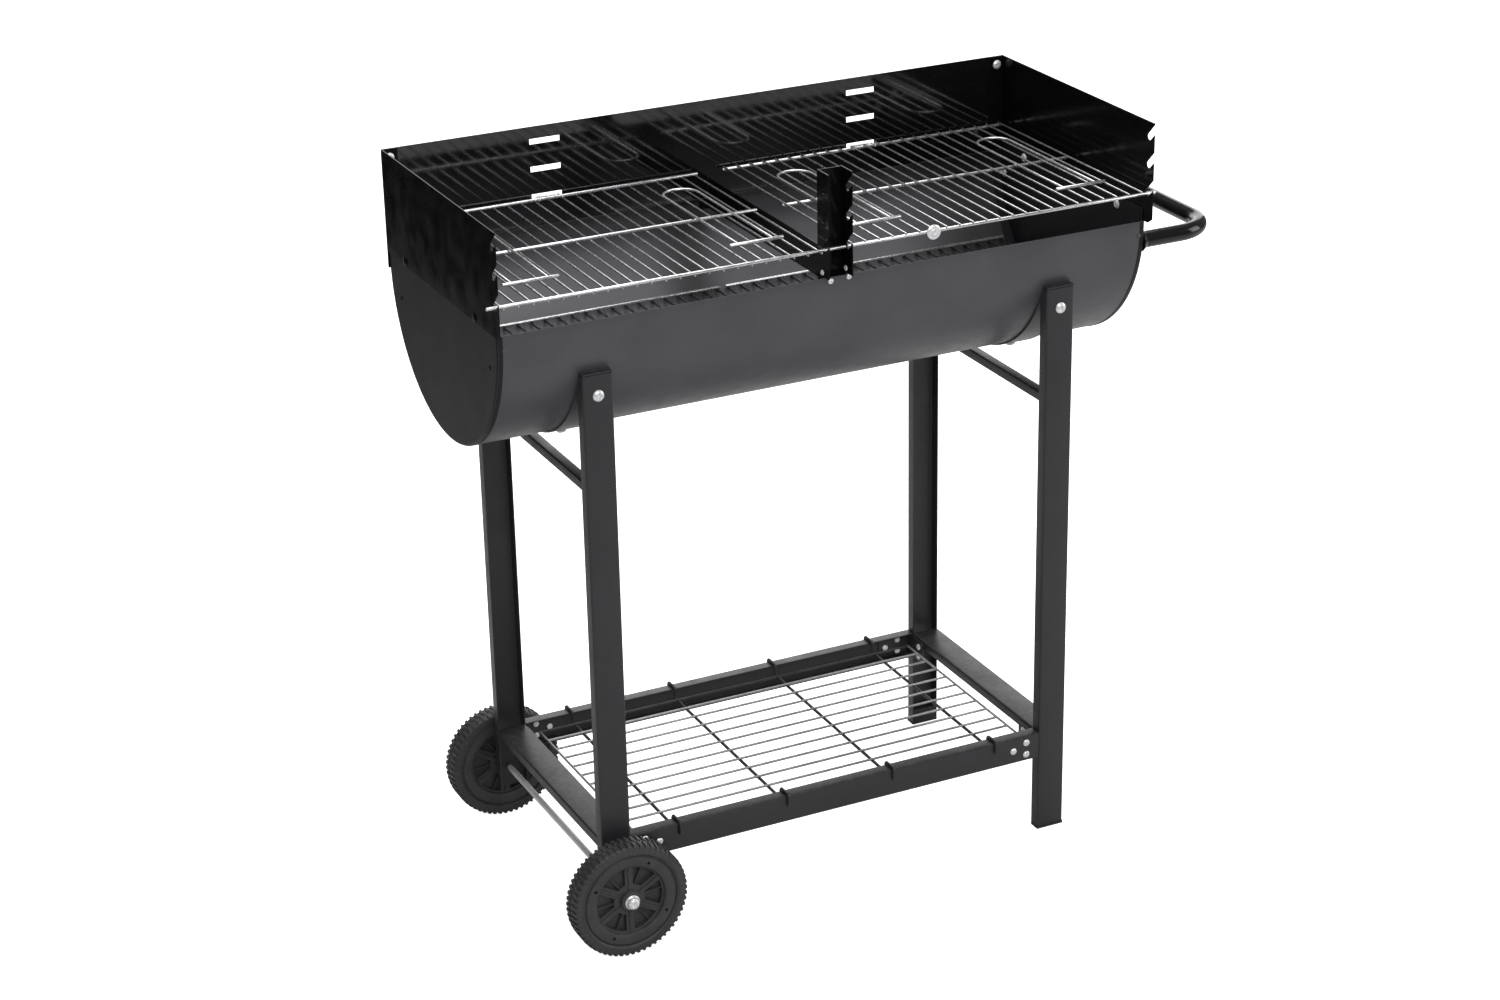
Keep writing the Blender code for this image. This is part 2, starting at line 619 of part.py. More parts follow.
def build_corner_bracket(side, side_name, row, row_name):
    """One leaf behind the long rail's web, one leaf along the side rail."""
    end_x = RAIL_X - GAP
    out_y = LEG_WEB_Y - GAP
    height = (RAIL_Z0 + BRACKET_INSET, RAIL_Z1 - BRACKET_INSET)
    new_object(f"corner_bracket_{row_name}_{side_name}", box_solid([
        (*span(side, end_x, end_x - BRACKET_L), *span(row, out_y, out_y - LEG_T), *height),
        (*span(side, end_x, end_x - LEG_T), *span(row, out_y, BRACKET_Y), *height),
    ]), satin_paint("bracket"))


# ---------------------------------------------------------------- hooked wire shelf
RACK_X, RACK_Y, RACK_Z = 0.272, 0.148, 0.128
RACK_WIRES = 12
HOOK_XS = (-0.222, -0.074, 0.074, 0.222)
HOOK_IN = LEG_IN_Y - 0.0030
HOOK_OUT = LEG_Y + 0.0022
HOOK_TOP = RAIL_Z1 + 0.0022
HOOK_TIP_Z = RAIL_Z1 - 0.013


def build_wire_shelf():
    """Long wires, end wires, and four cross wires hooked over the front and rear rails."""
    parts = [wire_x(-RACK_X, RACK_X, y, RACK_Z) for y in spaced(-RACK_Y, RACK_Y, RACK_WIRES)]
    parts += [wire_y(x, -RACK_Y, RACK_Y, RACK_Z) for x in (-RACK_X, RACK_X)]
    inner = (HOOK_IN - WIRE, HOOK_IN + WIRE)
    outer = (HOOK_OUT - WIRE, HOOK_OUT + WIRE)
    top = HOOK_TOP + WIRE
    for x in HOOK_XS:
        across = (x - WIRE, x + WIRE)
        parts.append(wire_y(x, -inner[1], inner[1], RACK_Z))
        for row, _ in ROWS:
            parts.append((*across, *span(row, *inner), RACK_Z - WIRE, top))
            parts.append((*across, *span(row, inner[0], outer[1]), HOOK_TOP - WIRE, top))
            parts.append((*across, *span(row, *outer), HOOK_TIP_Z, top))
    new_object("wire_shelf", box_solid(parts), dark_wire("shelf"), origin=(0, 0, RACK_Z))


# ---------------------------------------------------------------- wheels and axle
def build_wheel(row, row_name):
    """Six blind windows in the outer face between the spokes, a long hub inside."""
    steps = 36
    radii = [AXLE_CLEAR_R, 0.013, 0.022, 0.044, 0.060, WHEEL_R]
    depths = [WHEEL_OUT - d for d in (0.038, WHEEL_W, 0.020, 0.016, 0.007, 0.0)]
    # cells: ring outwards from the hub, step round the wheel, layer from the inner to the outer face
    filled = np.zeros((len(radii) - 1, steps, len(depths) - 1), bool)
    filled[0, :, :] = True                 # hub, full length
    filled[4, :, 1:] = True                # tyre
    filled[1:4, :, 2:4] = True             # web with a closed back
    filled[3, :, 4] = True                 # raised ring outside the windows
    for sector in range(6):
        filled[2, sector * 6 + 1:sector * 6 + 5, 3] = False   # window

    def place(radius, angle, depth):
        return (AXLE_X + radius * math.sin(angle), row * depth, WHEEL_R + radius * math.cos(angle))

    angles = [2 * math.pi * i / steps for i in range(steps)]
    new_object(f"wheel_{row_name}", grid_solid(radii, angles, depths, filled, place, wrap=True),
               plastic("wheel"), smooth=35, origin=(AXLE_X, row * (WHEEL_OUT - WHEEL_W / 2), WHEEL_R))


def build_axle_cap(row, row_name):
    profile = [(0.0, 0.0), (0.0, 0.0095), (0.003, 0.0095), (0.005, 0.0080), (0.008, 0.0050),
               (0.0092, 0.0)]
    centre = (AXLE_X, row * (WHEEL_OUT + 0.0006), WHEEL_R)
    new_object(f"axle_cap_{row_name}", turned(profile, centre, (0, row, 0), 16), zinc("axle_cap"),
               smooth=40, origin=centre)


def build_axle():
    profile = [(-WHEEL_OUT, 0.0), (-WHEEL_OUT, AXLE_R), (WHEEL_OUT, AXLE_R), (WHEEL_OUT, 0.0)]
    centre = (AXLE_X, 0, WHEEL_R)
    new_object("axle", turned(profile, centre, Y_AXIS, 16), zinc("axle"), smooth=40, origin=centre)


# ---------------------------------------------------------------- push handle
HANDLE_BEND = 0.048     # bend radius of the two corners


def build_handle():
    """U-shaped round bar standing off the right end cap."""
    bend = [(HANDLE_X - HANDLE_BEND + HANDLE_BEND * math.sin(t),
             HANDLE_Y - HANDLE_BEND + HANDLE_BEND * math.cos(t))
            for t in [math.pi / 2 * i / 6 for i in range(7)]]
    half = [(HALF_L + GAP, HANDLE_Y), *bend]
    path = [(x, -y, HANDLE_Z) for x, y in half] + [(x, y, HANDLE_Z) for x, y in reversed(half)]
    handle = new_object("push_handle", swept(path, HANDLE_R, 12), gloss_paint("handle"), smooth=40)
    for row, row_name in ROWS:
        centre = (HALF_L, row * HANDLE_Y, HANDLE_Z)
        cut(handle, cylinder(centre, X_AXIS, -0.005, 0.022, HANDLE_BORE_R), f"bore_{row_name}")


def build_handle_bolt(row, row_name):
    """Head inside the end cap, shank in the handle's bore."""
    profile = [(-0.0045, 0.0), (-0.0045, 0.0035), (-0.003, 0.0058), (0.0, 0.0062), (0.0, 0.0031),
               (0.019, 0.0031), (0.0205, 0.0022), (0.0205, 0.0)]
    centre = (HALF_L - BOWL_T - GAP, row * HANDLE_Y, HANDLE_Z)
    new_object(f"handle_bolt_{row_name}", turned(profile, centre, X_AXIS, 12), zinc("handle_bolt"),
               smooth=40, origin=centre)


# ---------------------------------------------------------------- build
for old in list(bpy.data.objects):
    bpy.data.objects.remove(old, do_unlink=True)

build_shell()
build_guard_back()
build_centre_post()
build_divider()
build_grate_button()
build_wire_shelf()
build_axle()
build_handle()

for x_side in SIDES:
    build_end_cap(*x_side)
    build_guard_side(*x_side)
    build_guard_bolts(*x_side)
    build_cooking_grate(*x_side)
    build_charcoal_grate(*x_side)
    for y_row in ROWS:
        build_leg(*x_side, *y_row)
    build_saddle_strap(*x_side)
    build_crossbar(*x_side)
    build_side_rail(*x_side)

for y_row in ROWS:
    build_foot_plug(*y_row)
    build_long_rail(*y_row)
    for x_side in SIDES:
        build_corner_bracket(*x_side, *y_row)
    build_wheel(*y_row)
    build_axle_cap(*y_row)
    build_handle_bolt(*y_row)

# move the middle of the whole box to x = 0
for ob in bpy.context.scene.objects:
    ob.location.x -= ORIGIN_X
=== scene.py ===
"""Charcoal barrel grill on a wheeled frame, built over its CAD pieces.

Metres, +Z up. The fire bowl lies along X: left is -X and right is +X, where the push
handle is. Front is -Y and rear is +Y. The wheels turn on an axle along Y.
"""
import math

import bmesh
import bpy
from mathutils import Matrix, Vector


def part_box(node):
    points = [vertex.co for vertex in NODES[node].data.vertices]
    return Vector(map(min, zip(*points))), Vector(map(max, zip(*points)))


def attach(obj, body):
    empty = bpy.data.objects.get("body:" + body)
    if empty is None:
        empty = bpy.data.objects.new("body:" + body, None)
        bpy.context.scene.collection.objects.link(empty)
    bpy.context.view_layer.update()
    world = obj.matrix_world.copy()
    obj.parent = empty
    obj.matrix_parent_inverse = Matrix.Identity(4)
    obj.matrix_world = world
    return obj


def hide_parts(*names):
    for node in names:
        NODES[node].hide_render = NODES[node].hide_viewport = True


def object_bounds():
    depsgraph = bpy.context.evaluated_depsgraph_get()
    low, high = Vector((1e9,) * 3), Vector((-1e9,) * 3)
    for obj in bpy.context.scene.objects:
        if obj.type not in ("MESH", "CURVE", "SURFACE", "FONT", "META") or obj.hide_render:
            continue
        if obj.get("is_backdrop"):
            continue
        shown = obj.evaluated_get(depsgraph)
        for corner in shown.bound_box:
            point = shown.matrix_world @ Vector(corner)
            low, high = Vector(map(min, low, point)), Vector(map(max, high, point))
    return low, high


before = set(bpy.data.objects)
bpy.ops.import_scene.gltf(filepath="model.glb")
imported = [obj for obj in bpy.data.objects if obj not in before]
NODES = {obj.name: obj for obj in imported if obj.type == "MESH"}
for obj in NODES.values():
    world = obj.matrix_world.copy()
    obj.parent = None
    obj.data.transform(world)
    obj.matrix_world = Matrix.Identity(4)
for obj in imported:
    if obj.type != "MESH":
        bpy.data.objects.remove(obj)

CAD_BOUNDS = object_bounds()
ENDS = ((-1, "left"), (1, "right"))        # sign along X, name
SIDES = ((-1, "front"), (1, "rear"))       # sign along Y, name
MM = 0.001

# ---------------------------------------------------------------- driving measures
shell_low, shell_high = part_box("barrel_shell")
cap_low, cap_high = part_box("end_cap_left")
MID_X = (shell_low.x + shell_high.x) / 2   # middle of the fire bowl
BOWL_R = (shell_high.y - shell_low.y) / 2  # outer radius
RIM_Z = shell_high.z
BOWL_Z = shell_low.z + BOWL_R              # height of the bowl's centre line
BOWL_SHEET = 0.0012
SHELL_HALF = (shell_high.x - shell_low.x) / 2
CAP_HALF = MID_X - cap_low.x               # bowl middle to the outer face of an end cap
CAP_TOP_Z = cap_high.z
CAP_RIM_Z = RIM_Z - 0.0006
FRAME_SHEET = 0.0015
FRAME_BEVEL = 0.0003


def middle(node):
    low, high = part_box(node)
    return (low + high) / 2


def outer_y(node, y_sign):
    """Distance from the XZ plane to a node's outer face."""
    low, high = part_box(node)
    return abs(high.y if y_sign > 0 else low.y)


# ---------------------------------------------------------------- shapes: (vertices, faces)
def arc(cx, cy, radius, start, end, steps):
    """Points of a plane arc, both ends included."""
    angles = [start + (end - start) * i / steps for i in range(steps + 1)]
    return [(cx + radius * math.cos(a), cy + radius * math.sin(a)) for a in angles]


def bowl_arc(radius, half_angle=math.pi / 2, steps=96):
    """(y, z) round the bowl's centre line, front to rear by way of the bottom."""
    angles = [-half_angle + 2 * half_angle * i / steps for i in range(steps + 1)]
    return [(radius * math.sin(a), BOWL_Z - radius * math.cos(a)) for a in angles]


def side_quads(first, second, count):
    """Faces between two closed rings that start at the given vertex numbers."""
    quads = []
    for i in range(count):
        j = (i + 1) % count
        quads.append((first + i, first + j, second + j, second + i))
    return quads


def loft(outlines):
    """Closed outlines with equal point counts joined in turn, ends filled."""
    count = len(outlines[0])
    verts = [point for outline in outlines for point in outline]
    faces = []
    for i in range(len(outlines) - 1):
        faces += side_quads(i * count, (i + 1) * count, count)
    faces.append(tuple(range(count))[::-1])
    faces.append(tuple(range(len(verts) - count, len(verts))))
    return verts, faces


def extrude_x(outline, stations):
    """(y, z) outline carried along X."""
    return loft([[(x, y, z) for y, z in outline] for x in stations])


def tube(path, radius, segments=12, rounded=True):
    """Round wire along a path, its ends rounded off or cut square."""
    points = [Vector(p) for p in path]
    radii = [radius] * len(points)
    if rounded:
        start = (points[0] - points[1]).normalized() * radius
        end = (points[-1] - points[-2]).normalized() * radius
        points = ([points[0] + start * 0.45, points[0] + start * 0.3] + points
                  + [points[-1] + end * 0.3, points[-1] + end * 0.45])
        radii = [radius * 0.45, radius * 0.8] + radii + [radius * 0.8, radius * 0.45]
    rings, normal = [], None
    for i, point in enumerate(points):
        ahead, behind = points[min(i + 1, len(points) - 1)], points[max(i - 1, 0)]
        tangent = (ahead - behind).normalized()
        if normal is None:
            normal = tangent.orthogonal().normalized()
        normal = (normal - tangent * normal.dot(tangent)).normalized()
        across = tangent.cross(normal)
        angles = [2 * math.pi * k / segments for k in range(segments)]
        rings.append([point + (normal * math.cos(a) + across * math.sin(a)) * radii[i]
                      for a in angles])
    return loft(rings)


def wire_x(x0, x1, y, z, radius, segments):
    return tube([(x0, y, z), ((x0 + x1) / 2, y, z), (x1, y, z)], radius, segments)


def wire_y(y0, y1, x, z, radius, segments=10):
    return tube([(x, y0, z), (x, 0.0, z), (x, y1, z)], radius, segments)


def revolve(profile, centre, axis, steps=32, closed=False):
    """(distance along axis, radius) turned round the axis; closed joins last ring to first."""
    axis = Vector(axis).normalized()
    side = axis.orthogonal().normalized()
    if abs(axis.y) > 0.9:
        side = Vector((0, 0, 1))
    up = axis.cross(side)
    angles = [2 * math.pi * i / steps for i in range(steps)]
    verts, faces, rings = [], [], []
    for distance, radius in profile:
        ring_centre = Vector(centre) + axis * distance
        if radius < 1e-9:
            rings.append([len(verts)])
            verts.append(ring_centre)
        else:
            rings.append(list(range(len(verts), len(verts) + steps)))
            verts += [ring_centre + (side * math.cos(a) + up * math.sin(a)) * radius
                      for a in angles]
    pairs = list(zip(rings, rings[1:])) + ([(rings[-1], rings[0])] if closed else [])
    for p, q in pairs:
        for i in range(steps):
            j = (i + 1) % steps
            if len(p) == 1:
                faces.append((p[0], q[i], q[j]))
            elif len(q) == 1:
                faces.append((p[i], q[0], p[j]))
            else:
                faces.append((p[i], q[i], q[j], p[j]))
    if not closed:
        faces += [tuple(ring) for ring in (rings[0], rings[-1]) if len(ring) > 1]
    return verts, faces


def box(x0, x1, y0, y1, z0, z1):
    verts = [(x, y, z) for x in (x0, x1) for y in (y0, y1) for z in (z0, z1)]
    return verts, [(0, 1, 3, 2), (4, 6, 7, 5), (0, 4, 5, 1),
                   (2, 3, 7, 6), (0, 2, 6, 4), (1, 5, 7, 3)]


def channel(width, depth, corner):
    """C outline: web on v = 0, flanges down to v = -depth, width centred on u = 0."""
    half, sheet, inner = width / 2, FRAME_SHEET, corner - FRAME_SHEET
    up, flat = math.pi / 2, math.pi
    return ([(-half, -depth)]
            + arc(-half + corner, -corner, corner, flat, up, 4)
            + arc(half - corner, -corner, corner, up, 0, 4)
            + [(half, -depth), (half - sheet, -depth)]
            + arc(half - sheet - inner, -sheet - inner, inner, 0, up, 4)
            + arc(-half + sheet + inner, -sheet - inner, inner, up, flat, 4)
            + [(-half + sheet, -depth)])


def screw_head(centre, axis, radius, height, segments=40, recess=True, spin=0.3):
    """Domed head with a cross recess, flat side on `centre`, dome towards `axis`."""
    ring_sizes = [0.08, 0.16, 0.24, 0.32, 0.4, 0.48, 0.58, 0.7, 0.82, 0.92, 0.98, 1.0, 1.0]
    centre, axis = Vector(centre), Vector(axis).normalized()
    u = axis.orthogonal().normalized()
    w = axis.cross(u)
    u, w = (u * math.cos(spin) + w * math.sin(spin),
            w * math.cos(spin) - u * math.sin(spin))

    def dome(size, x, y):
        z = height * (1 - 0.75 * size ** 3) if size < 0.985 else height * 0.12
        near, far = sorted((abs(x), abs(y)))
        if recess and near < 0.12 and far < 0.5:
            z -= height * 0.55
        return z

    verts = [centre + axis * dome(0, 0, 0)]
    for i, size in enumerate(ring_sizes):
        for k in range(segments):
            angle = 2 * math.pi * k / segments
            x, y = size * math.cos(angle), size * math.sin(angle)
            z = 0.0 if i == len(ring_sizes) - 1 else dome(size, x, y)
            verts.append(centre + (u * x + w * y) * radius + axis * z)
    faces = [(0, 1 + k, 1 + (k + 1) % segments) for k in range(segments)]
    for i in range(len(ring_sizes) - 1):
        faces += side_quads(1 + i * segments, 1 + (i + 1) * segments, segments)
    faces.append(tuple(range(len(verts) - segments, len(verts))))
    return verts, faces


def hex_nut(centre, axis, radius, height):
    """Chamfered hexagon nut from `centre` towards `axis`."""
    u = axis.orthogonal().normalized()
    w = axis.cross(u)
    outlines = []
    for along, size in ((0, 0.9), (0.18, 1.0), (0.82, 1.0), (1, 0.88)):
        outlines.append([centre + axis * (height * along)
                         + (u * math.cos(a) + w * math.sin(a)) * radius * size
                         for a in [math.pi / 3 * i for i in range(6)]])
    return loft(outlines)


# ---------------------------------------------------------------- objects
def shade(mesh, sharp):
    """Smooth shading, with edges steeper than `sharp` degrees kept sharp."""
    mesh.shade_smooth()
    mesh.set_sharp_from_angle(angle=math.radians(sharp))


def add_bevel(obj, width, over_angle):
    bevel = obj.modifiers.new("edge", "BEVEL")
    bevel.width = width
    bevel.segments = 2
    bevel.limit_method = "ANGLE"
    bevel.angle_limit = math.radians(over_angle)
    bevel.harden_normals = True


def make_object(name, material, shapes, sharp=35, bevel=None):
    """One object from several shapes; sharp=None leaves it flat shaded."""
    bm = bmesh.new()
    for points, faces in shapes:
        verts = [bm.verts.new(p) for p in points]
        for face in faces:
            bm.faces.new([verts[i] for i in face])
    bmesh.ops.recalc_face_normals(bm, faces=bm.faces)
    mesh = bpy.data.meshes.new(name)
    bm.to_mesh(mesh)
    bm.free()
    obj = bpy.data.objects.new(name, mesh)
    bpy.context.scene.collection.objects.link(obj)
    mesh.materials.append(material)
    if sharp:
        shade(mesh, sharp)
    if bevel:
        add_bevel(obj, bevel, over_angle=35)
    return obj


def register(obj, node=None, body="frame"):
    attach(obj, body)
    if node:
        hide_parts(node)


def add_piece(name, material, shapes, node=None, body="frame", sharp=35, bevel=None):
    register(make_object(name, material, shapes, sharp, bevel), node, body)


# ---------------------------------------------------------------- finishes
def new_tree(owner):
    owner.use_nodes = True
    return owner.node_tree


def add_node(tree, kind, inputs=None, **settings):
    """New shader node; an input given as a socket is linked, any other is set."""
    node = tree.nodes.new("ShaderNode" + kind)
    for key, value in settings.items():
        setattr(node, key, value)
    for key, value in (inputs or {}).items():
        if isinstance(value, bpy.types.NodeSocket):
            tree.links.new(value, node.inputs[key])
        else:
            node.inputs[key].default_value = value
    return node


def noise(tree, source, scale, detail):
    inputs = {"Vector": source, "Scale": scale, "Detail": detail}
    return add_node(tree, "TexNoise", inputs).outputs["Fac"]


def dusted(tree, coords, colour, amount):
    """Lay pale specks over a colour where the surface faces up."""
    normal = add_node(tree, "NewGeometry").outputs["Normal"]
    facing = add_node(tree, "SeparateXYZ", {"Vector": normal}).outputs["Z"]
    specks = add_node(tree, "MapRange", {
        "From Min": 0.45, "From Max": 0.8, "To Max": amount,
        "Value": noise(tree, coords, scale=140, detail=8)}).outputs["Result"]
    cover = add_node(tree, "Math", {0: facing, 1: specks},
                     operation="MULTIPLY", use_clamp=True).outputs["Value"]
    return add_node(tree, "Mix", {"Factor": cover, "A": colour, "B": (0.35, 0.34, 0.33, 1)},
                    data_type="RGBA").outputs["Result"]


def finish(name, dark, light, rough, spread, grain, depth, strength, cloud,
           metallic=0.0, specular=0.5, dust=0.0, streak=None):
    """Painted or metal surface.

    dark, light: two tones clouded together at noise scale `cloud`
    rough, spread: roughness and how far it wanders either way
    grain, depth, strength: noise scale, distance and strength of the fine bump
    dust: amount on faces that look up; streak: stretch of the noise per axis
    """
    material = bpy.data.materials.new(name)
    tree = new_tree(material)
    surface = tree.nodes["Principled BSDF"]
    coords = source = add_node(tree, "TexCoord").outputs["Object"]
    if streak:
        source = add_node(tree, "Mapping", {"Vector": coords, "Scale": streak}).outputs["Vector"]

    ramp = add_node(tree, "ValToRGB", {"Fac": noise(tree, source, cloud, detail=5)})
    for element, place, tone in zip(ramp.color_ramp.elements, (0.35, 0.68), (dark, light)):
        element.position = place
        element.color = (*tone, 1)
    colour = ramp.outputs["Color"]
    if dust:
        colour = dusted(tree, coords, colour, dust)

    roughness = add_node(tree, "MapRange", {
        "From Min": 0.3, "From Max": 0.7, "To Min": rough - spread, "To Max": rough + spread,
        "Value": noise(tree, source, cloud * 4.3, detail=6)})
    bump = add_node(tree, "Bump", {
        "Distance": depth, "Strength": strength,
        "Height": noise(tree, source, grain, detail=3)})
    tree.links.new(colour, surface.inputs["Base Color"])
    tree.links.new(roughness.outputs["Result"], surface.inputs["Roughness"])
    tree.links.new(bump.outputs["Normal"], surface.inputs["Normal"])
    surface.inputs["Metallic"].default_value = metallic
    surface.inputs["Specular IOR Level"].default_value = specular
    return material


def paint_shade_along(material, axis, stops, start, end):
    """Paint shade into the colour: multiply it by soft zones along an axis; stops are (place,
    factor).
    """
    tree = material.node_tree
    base = tree.nodes["Principled BSDF"].inputs["Base Color"]
    colour = base.links[0].from_socket
    coords = add_node(tree, "TexCoord").outputs["Object"]
    place = add_node(tree, "SeparateXYZ", {"Vector": coords}).outputs[axis]
    along = add_node(tree, "MapRange", {"From Min": start, "From Max": end, "Value": place})
    ramp = add_node(tree, "ValToRGB", {"Fac": along.outputs["Result"]})
    ramp.color_ramp.interpolation = "EASE"
    elements = ramp.color_ramp.elements
    while len(elements) < len(stops):
        elements.new(0.5)
    for element, (place, factor) in zip(elements, stops):
        element.position = (place - start) / (end - start)
        element.color = (factor, factor, factor, 1)
    mix = add_node(tree, "Mix", {"Factor": 1.0, "A": colour, "B": ramp.outputs["Color"]},
                   data_type="RGBA", blend_type="MULTIPLY")
    tree.links.new(mix.outputs["Result"], base)


BOWL = finish(
    "bowl_satin_enamel", dark=(0.052, 0.052, 0.059), light=(0.064, 0.064, 0.071),
    rough=0.40, spread=0.04, grain=1400, depth=0.00005, strength=0.25, cloud=14,
    specular=0.55, dust=0.10)
# same enamel as the outside; the inside's lighter base colour is painted light, standing in for
# the bright reflections inside the bowl
BOWL_INSIDE = finish(
    "bowl_inside_enamel", dark=(0.138, 0.138, 0.147), light=(0.152, 0.152, 0.161),
    rough=0.26, spread=0.012, grain=900, depth=0.00004, strength=0.08, cloud=4,
    specular=0.80, dust=0.02)
CAP = finish(
    "cap_satin_enamel", dark=(0.0112, 0.0112, 0.0134), light=(0.0126, 0.0126, 0.0150),
    rough=0.44, spread=0.02, grain=1400, depth=0.00005, strength=0.25, cloud=5,
    specular=0.20)

# painted shade and light: the bowl's inside colour is darkened by the divider, towards the handle
# end and up by the rim, where the dark divider, end cap and guard would show in the glossy enamel
PAINTED_SHADE_HALF = 0.425
X_PAINTED_SHADING = ((-PAINTED_SHADE_HALF, 1.06), (-0.100, 1.0), (-0.037, 0.34), (0.030, 0.95),
           (0.225, 1.0), (0.375, 0.28), (PAINTED_SHADE_HALF, 0.22))      # x from the middle, factor
Z_PAINTED_SHADING = ((0.620, 1.04), (0.752, 1.0), (0.786, 0.40), (0.807, 0.14))   # z, factor
paint_shade_along(BOWL_INSIDE, "X", [(MID_X + x, factor) for x, factor in X_PAINTED_SHADING],
            start=MID_X - PAINTED_SHADE_HALF, end=MID_X + PAINTED_SHADE_HALF)
paint_shade_along(BOWL_INSIDE, "Z", Z_PAINTED_SHADING, start=0.620, end=0.808)

GLOSS = finish(
    "guard_gloss_enamel", dark=(0.0034, 0.0034, 0.0039), light=(0.0044, 0.0044, 0.0050),
    rough=0.065, spread=0.020, grain=260, depth=0.00005, strength=0.08, cloud=9,
    specular=0.95, dust=0.03)
# shaded copy of the guard's gloss enamel with its reflections turned down: painted shade that
# darkens the side panels, post, divider and screw ends
GLOSS_SHADED_COPY = finish(
    "guard_gloss_enamel_shaded_copy", dark=(0.0030, 0.0030, 0.0036), light=(0.0046, 0.0046, 0.0054),
    rough=0.14, spread=0.04, grain=260, depth=0.00006, strength=0.12, cloud=9,
    specular=0.10, dust=0.03)
HANDLE = finish(
    "handle_gloss_enamel", dark=(0.0040, 0.0040, 0.0045), light=(0.0065, 0.0065, 0.0070),
    rough=0.16, spread=0.04, grain=500, depth=0.00005, strength=0.15, cloud=30,
    specular=0.45)
FRAME = finish(
    "frame_powder_coat", dark=(0.0225, 0.0225, 0.0253), light=(0.0262, 0.0262, 0.0290),
    rough=0.38, spread=0.05, grain=1800, depth=0.00007, strength=0.3, cloud=9,
    specular=0.45, dust=0.10)
CHROME = finish(
    "grate_chrome_wire", dark=(0.50, 0.50, 0.51), light=(0.74, 0.74, 0.75),
    rough=0.24, spread=0.08, grain=2600, depth=0.00004, strength=0.3, cloud=120,
    metallic=0.8)
ROD = finish(
    "grate_rod_wire", dark=(0.36, 0.36, 0.37), light=(0.52, 0.52, 0.53),
    rough=0.27, spread=0.08, grain=2600, depth=0.00004, strength=0.3, cloud=120,
    metallic=0.85)
RACK = finish(
    "shelf_plated_wire", dark=(0.30, 0.30, 0.30), light=(0.42, 0.42, 0.42),
    rough=0.42, spread=0.08, grain=2600, depth=0.00004, strength=0.3, cloud=120,
    metallic=0.75)
AXLE = finish(
    "axle_bright_steel", dark=(0.80, 0.80, 0.81), light=(0.95, 0.95, 0.95),
    rough=0.34, spread=0.06, grain=3000, depth=0.00003, strength=0.3, cloud=200,
    metallic=0.12, streak=(1.0, 0.08, 1.0))
COAL = finish(
    "charcoal_grate_wire", dark=(0.07, 0.07, 0.075), light=(0.13, 0.13, 0.135),
    rough=0.40, spread=0.08, grain=2600, depth=0.00006, strength=0.4, cloud=90,
    metallic=1.0)
SHELF = finish(
    "shelf_black_wire", dark=(0.016, 0.016, 0.017), light=(0.030, 0.030, 0.032),
    rough=0.38, spread=0.08, grain=2200, depth=0.00006, strength=0.4, cloud=80,
    specular=0.45)
ZINC = finish(
    "zinc_fastener", dark=(0.78, 0.79, 0.80), light=(0.92, 0.92, 0.93),
    rough=0.32, spread=0.08, grain=3200, depth=0.00004, strength=0.3, cloud=260,
    metallic=0.5)
WHEEL = finish(
    "wheel_moulded_plastic", dark=(0.040, 0.040, 0.042), light=(0.052, 0.052, 0.054),
    rough=0.50, spread=0.08, grain=2400, depth=0.00010, strength=0.5, cloud=40,
    specular=0.4, dust=0.06)
FOOT = finish(
    "foot_plastic", dark=(0.012, 0.012, 0.013), light=(0.022, 0.022, 0.023),
    rough=0.55, spread=0.08, grain=2000, depth=0.0001, strength=0.5, cloud=60)


# ---------------------------------------------------------------- fire bowl
def add_shell():
    """Half-round trough with its rim edges rounded over."""
    lip = 0.0007

    def line(radius, shift):
        return ([(-radius + shift, RIM_Z), (-radius, RIM_Z - lip)] + bowl_arc(radius)
                + [(radius, RIM_Z - lip), (radius - shift, RIM_Z)])

    outline = line(BOWL_R, lip * 0.35) + line(BOWL_R - BOWL_SHEET, -lip * 0.35)[::-1]
    stations = [MID_X + SHELL_HALF * part for part in (-1, -1 / 3, 1 / 3, 1)]
    shell = make_object("fire_bowl_shell", BOWL, [extrude_x(outline, stations)], sharp=40)
    shell.data.materials.append(BOWL_INSIDE)
    for face in shell.data.polygons:
        reach = math.hypot(face.center.y, min(face.center.z - BOWL_Z, 0.0))
        if reach < BOWL_R - BOWL_SHEET * 0.6 and abs(face.normal.x) < 0.5:
            face.material_index = 1
    register(shell, "barrel_shell")


# section of the cap's rolled shoulder: radius beyond the bowl's, depth in from the outer face
CAP_SHOULDER = (
    (-0.0030, 0.0), (-0.0016, 0.0002), (-0.0004, 0.0010), (0.0004, 0.0024),
    (0.0005, 0.0070), (0.00005, 0.0071), (0.00005, 0.0066), (0.00005, 0.0030),
    (-0.0010, 0.0018), (-0.0024, 0.00115), (-0.0030, 0.00115))
CAP_TAB_HALF = 0.168
CAP_RIVETS = ((0.140, 0.756), (-0.147, 0.762))     # y, z
SHELL_RIVET_X, SHELL_RIVET_Z = 0.4165, 0.789       # x is from the bowl's middle


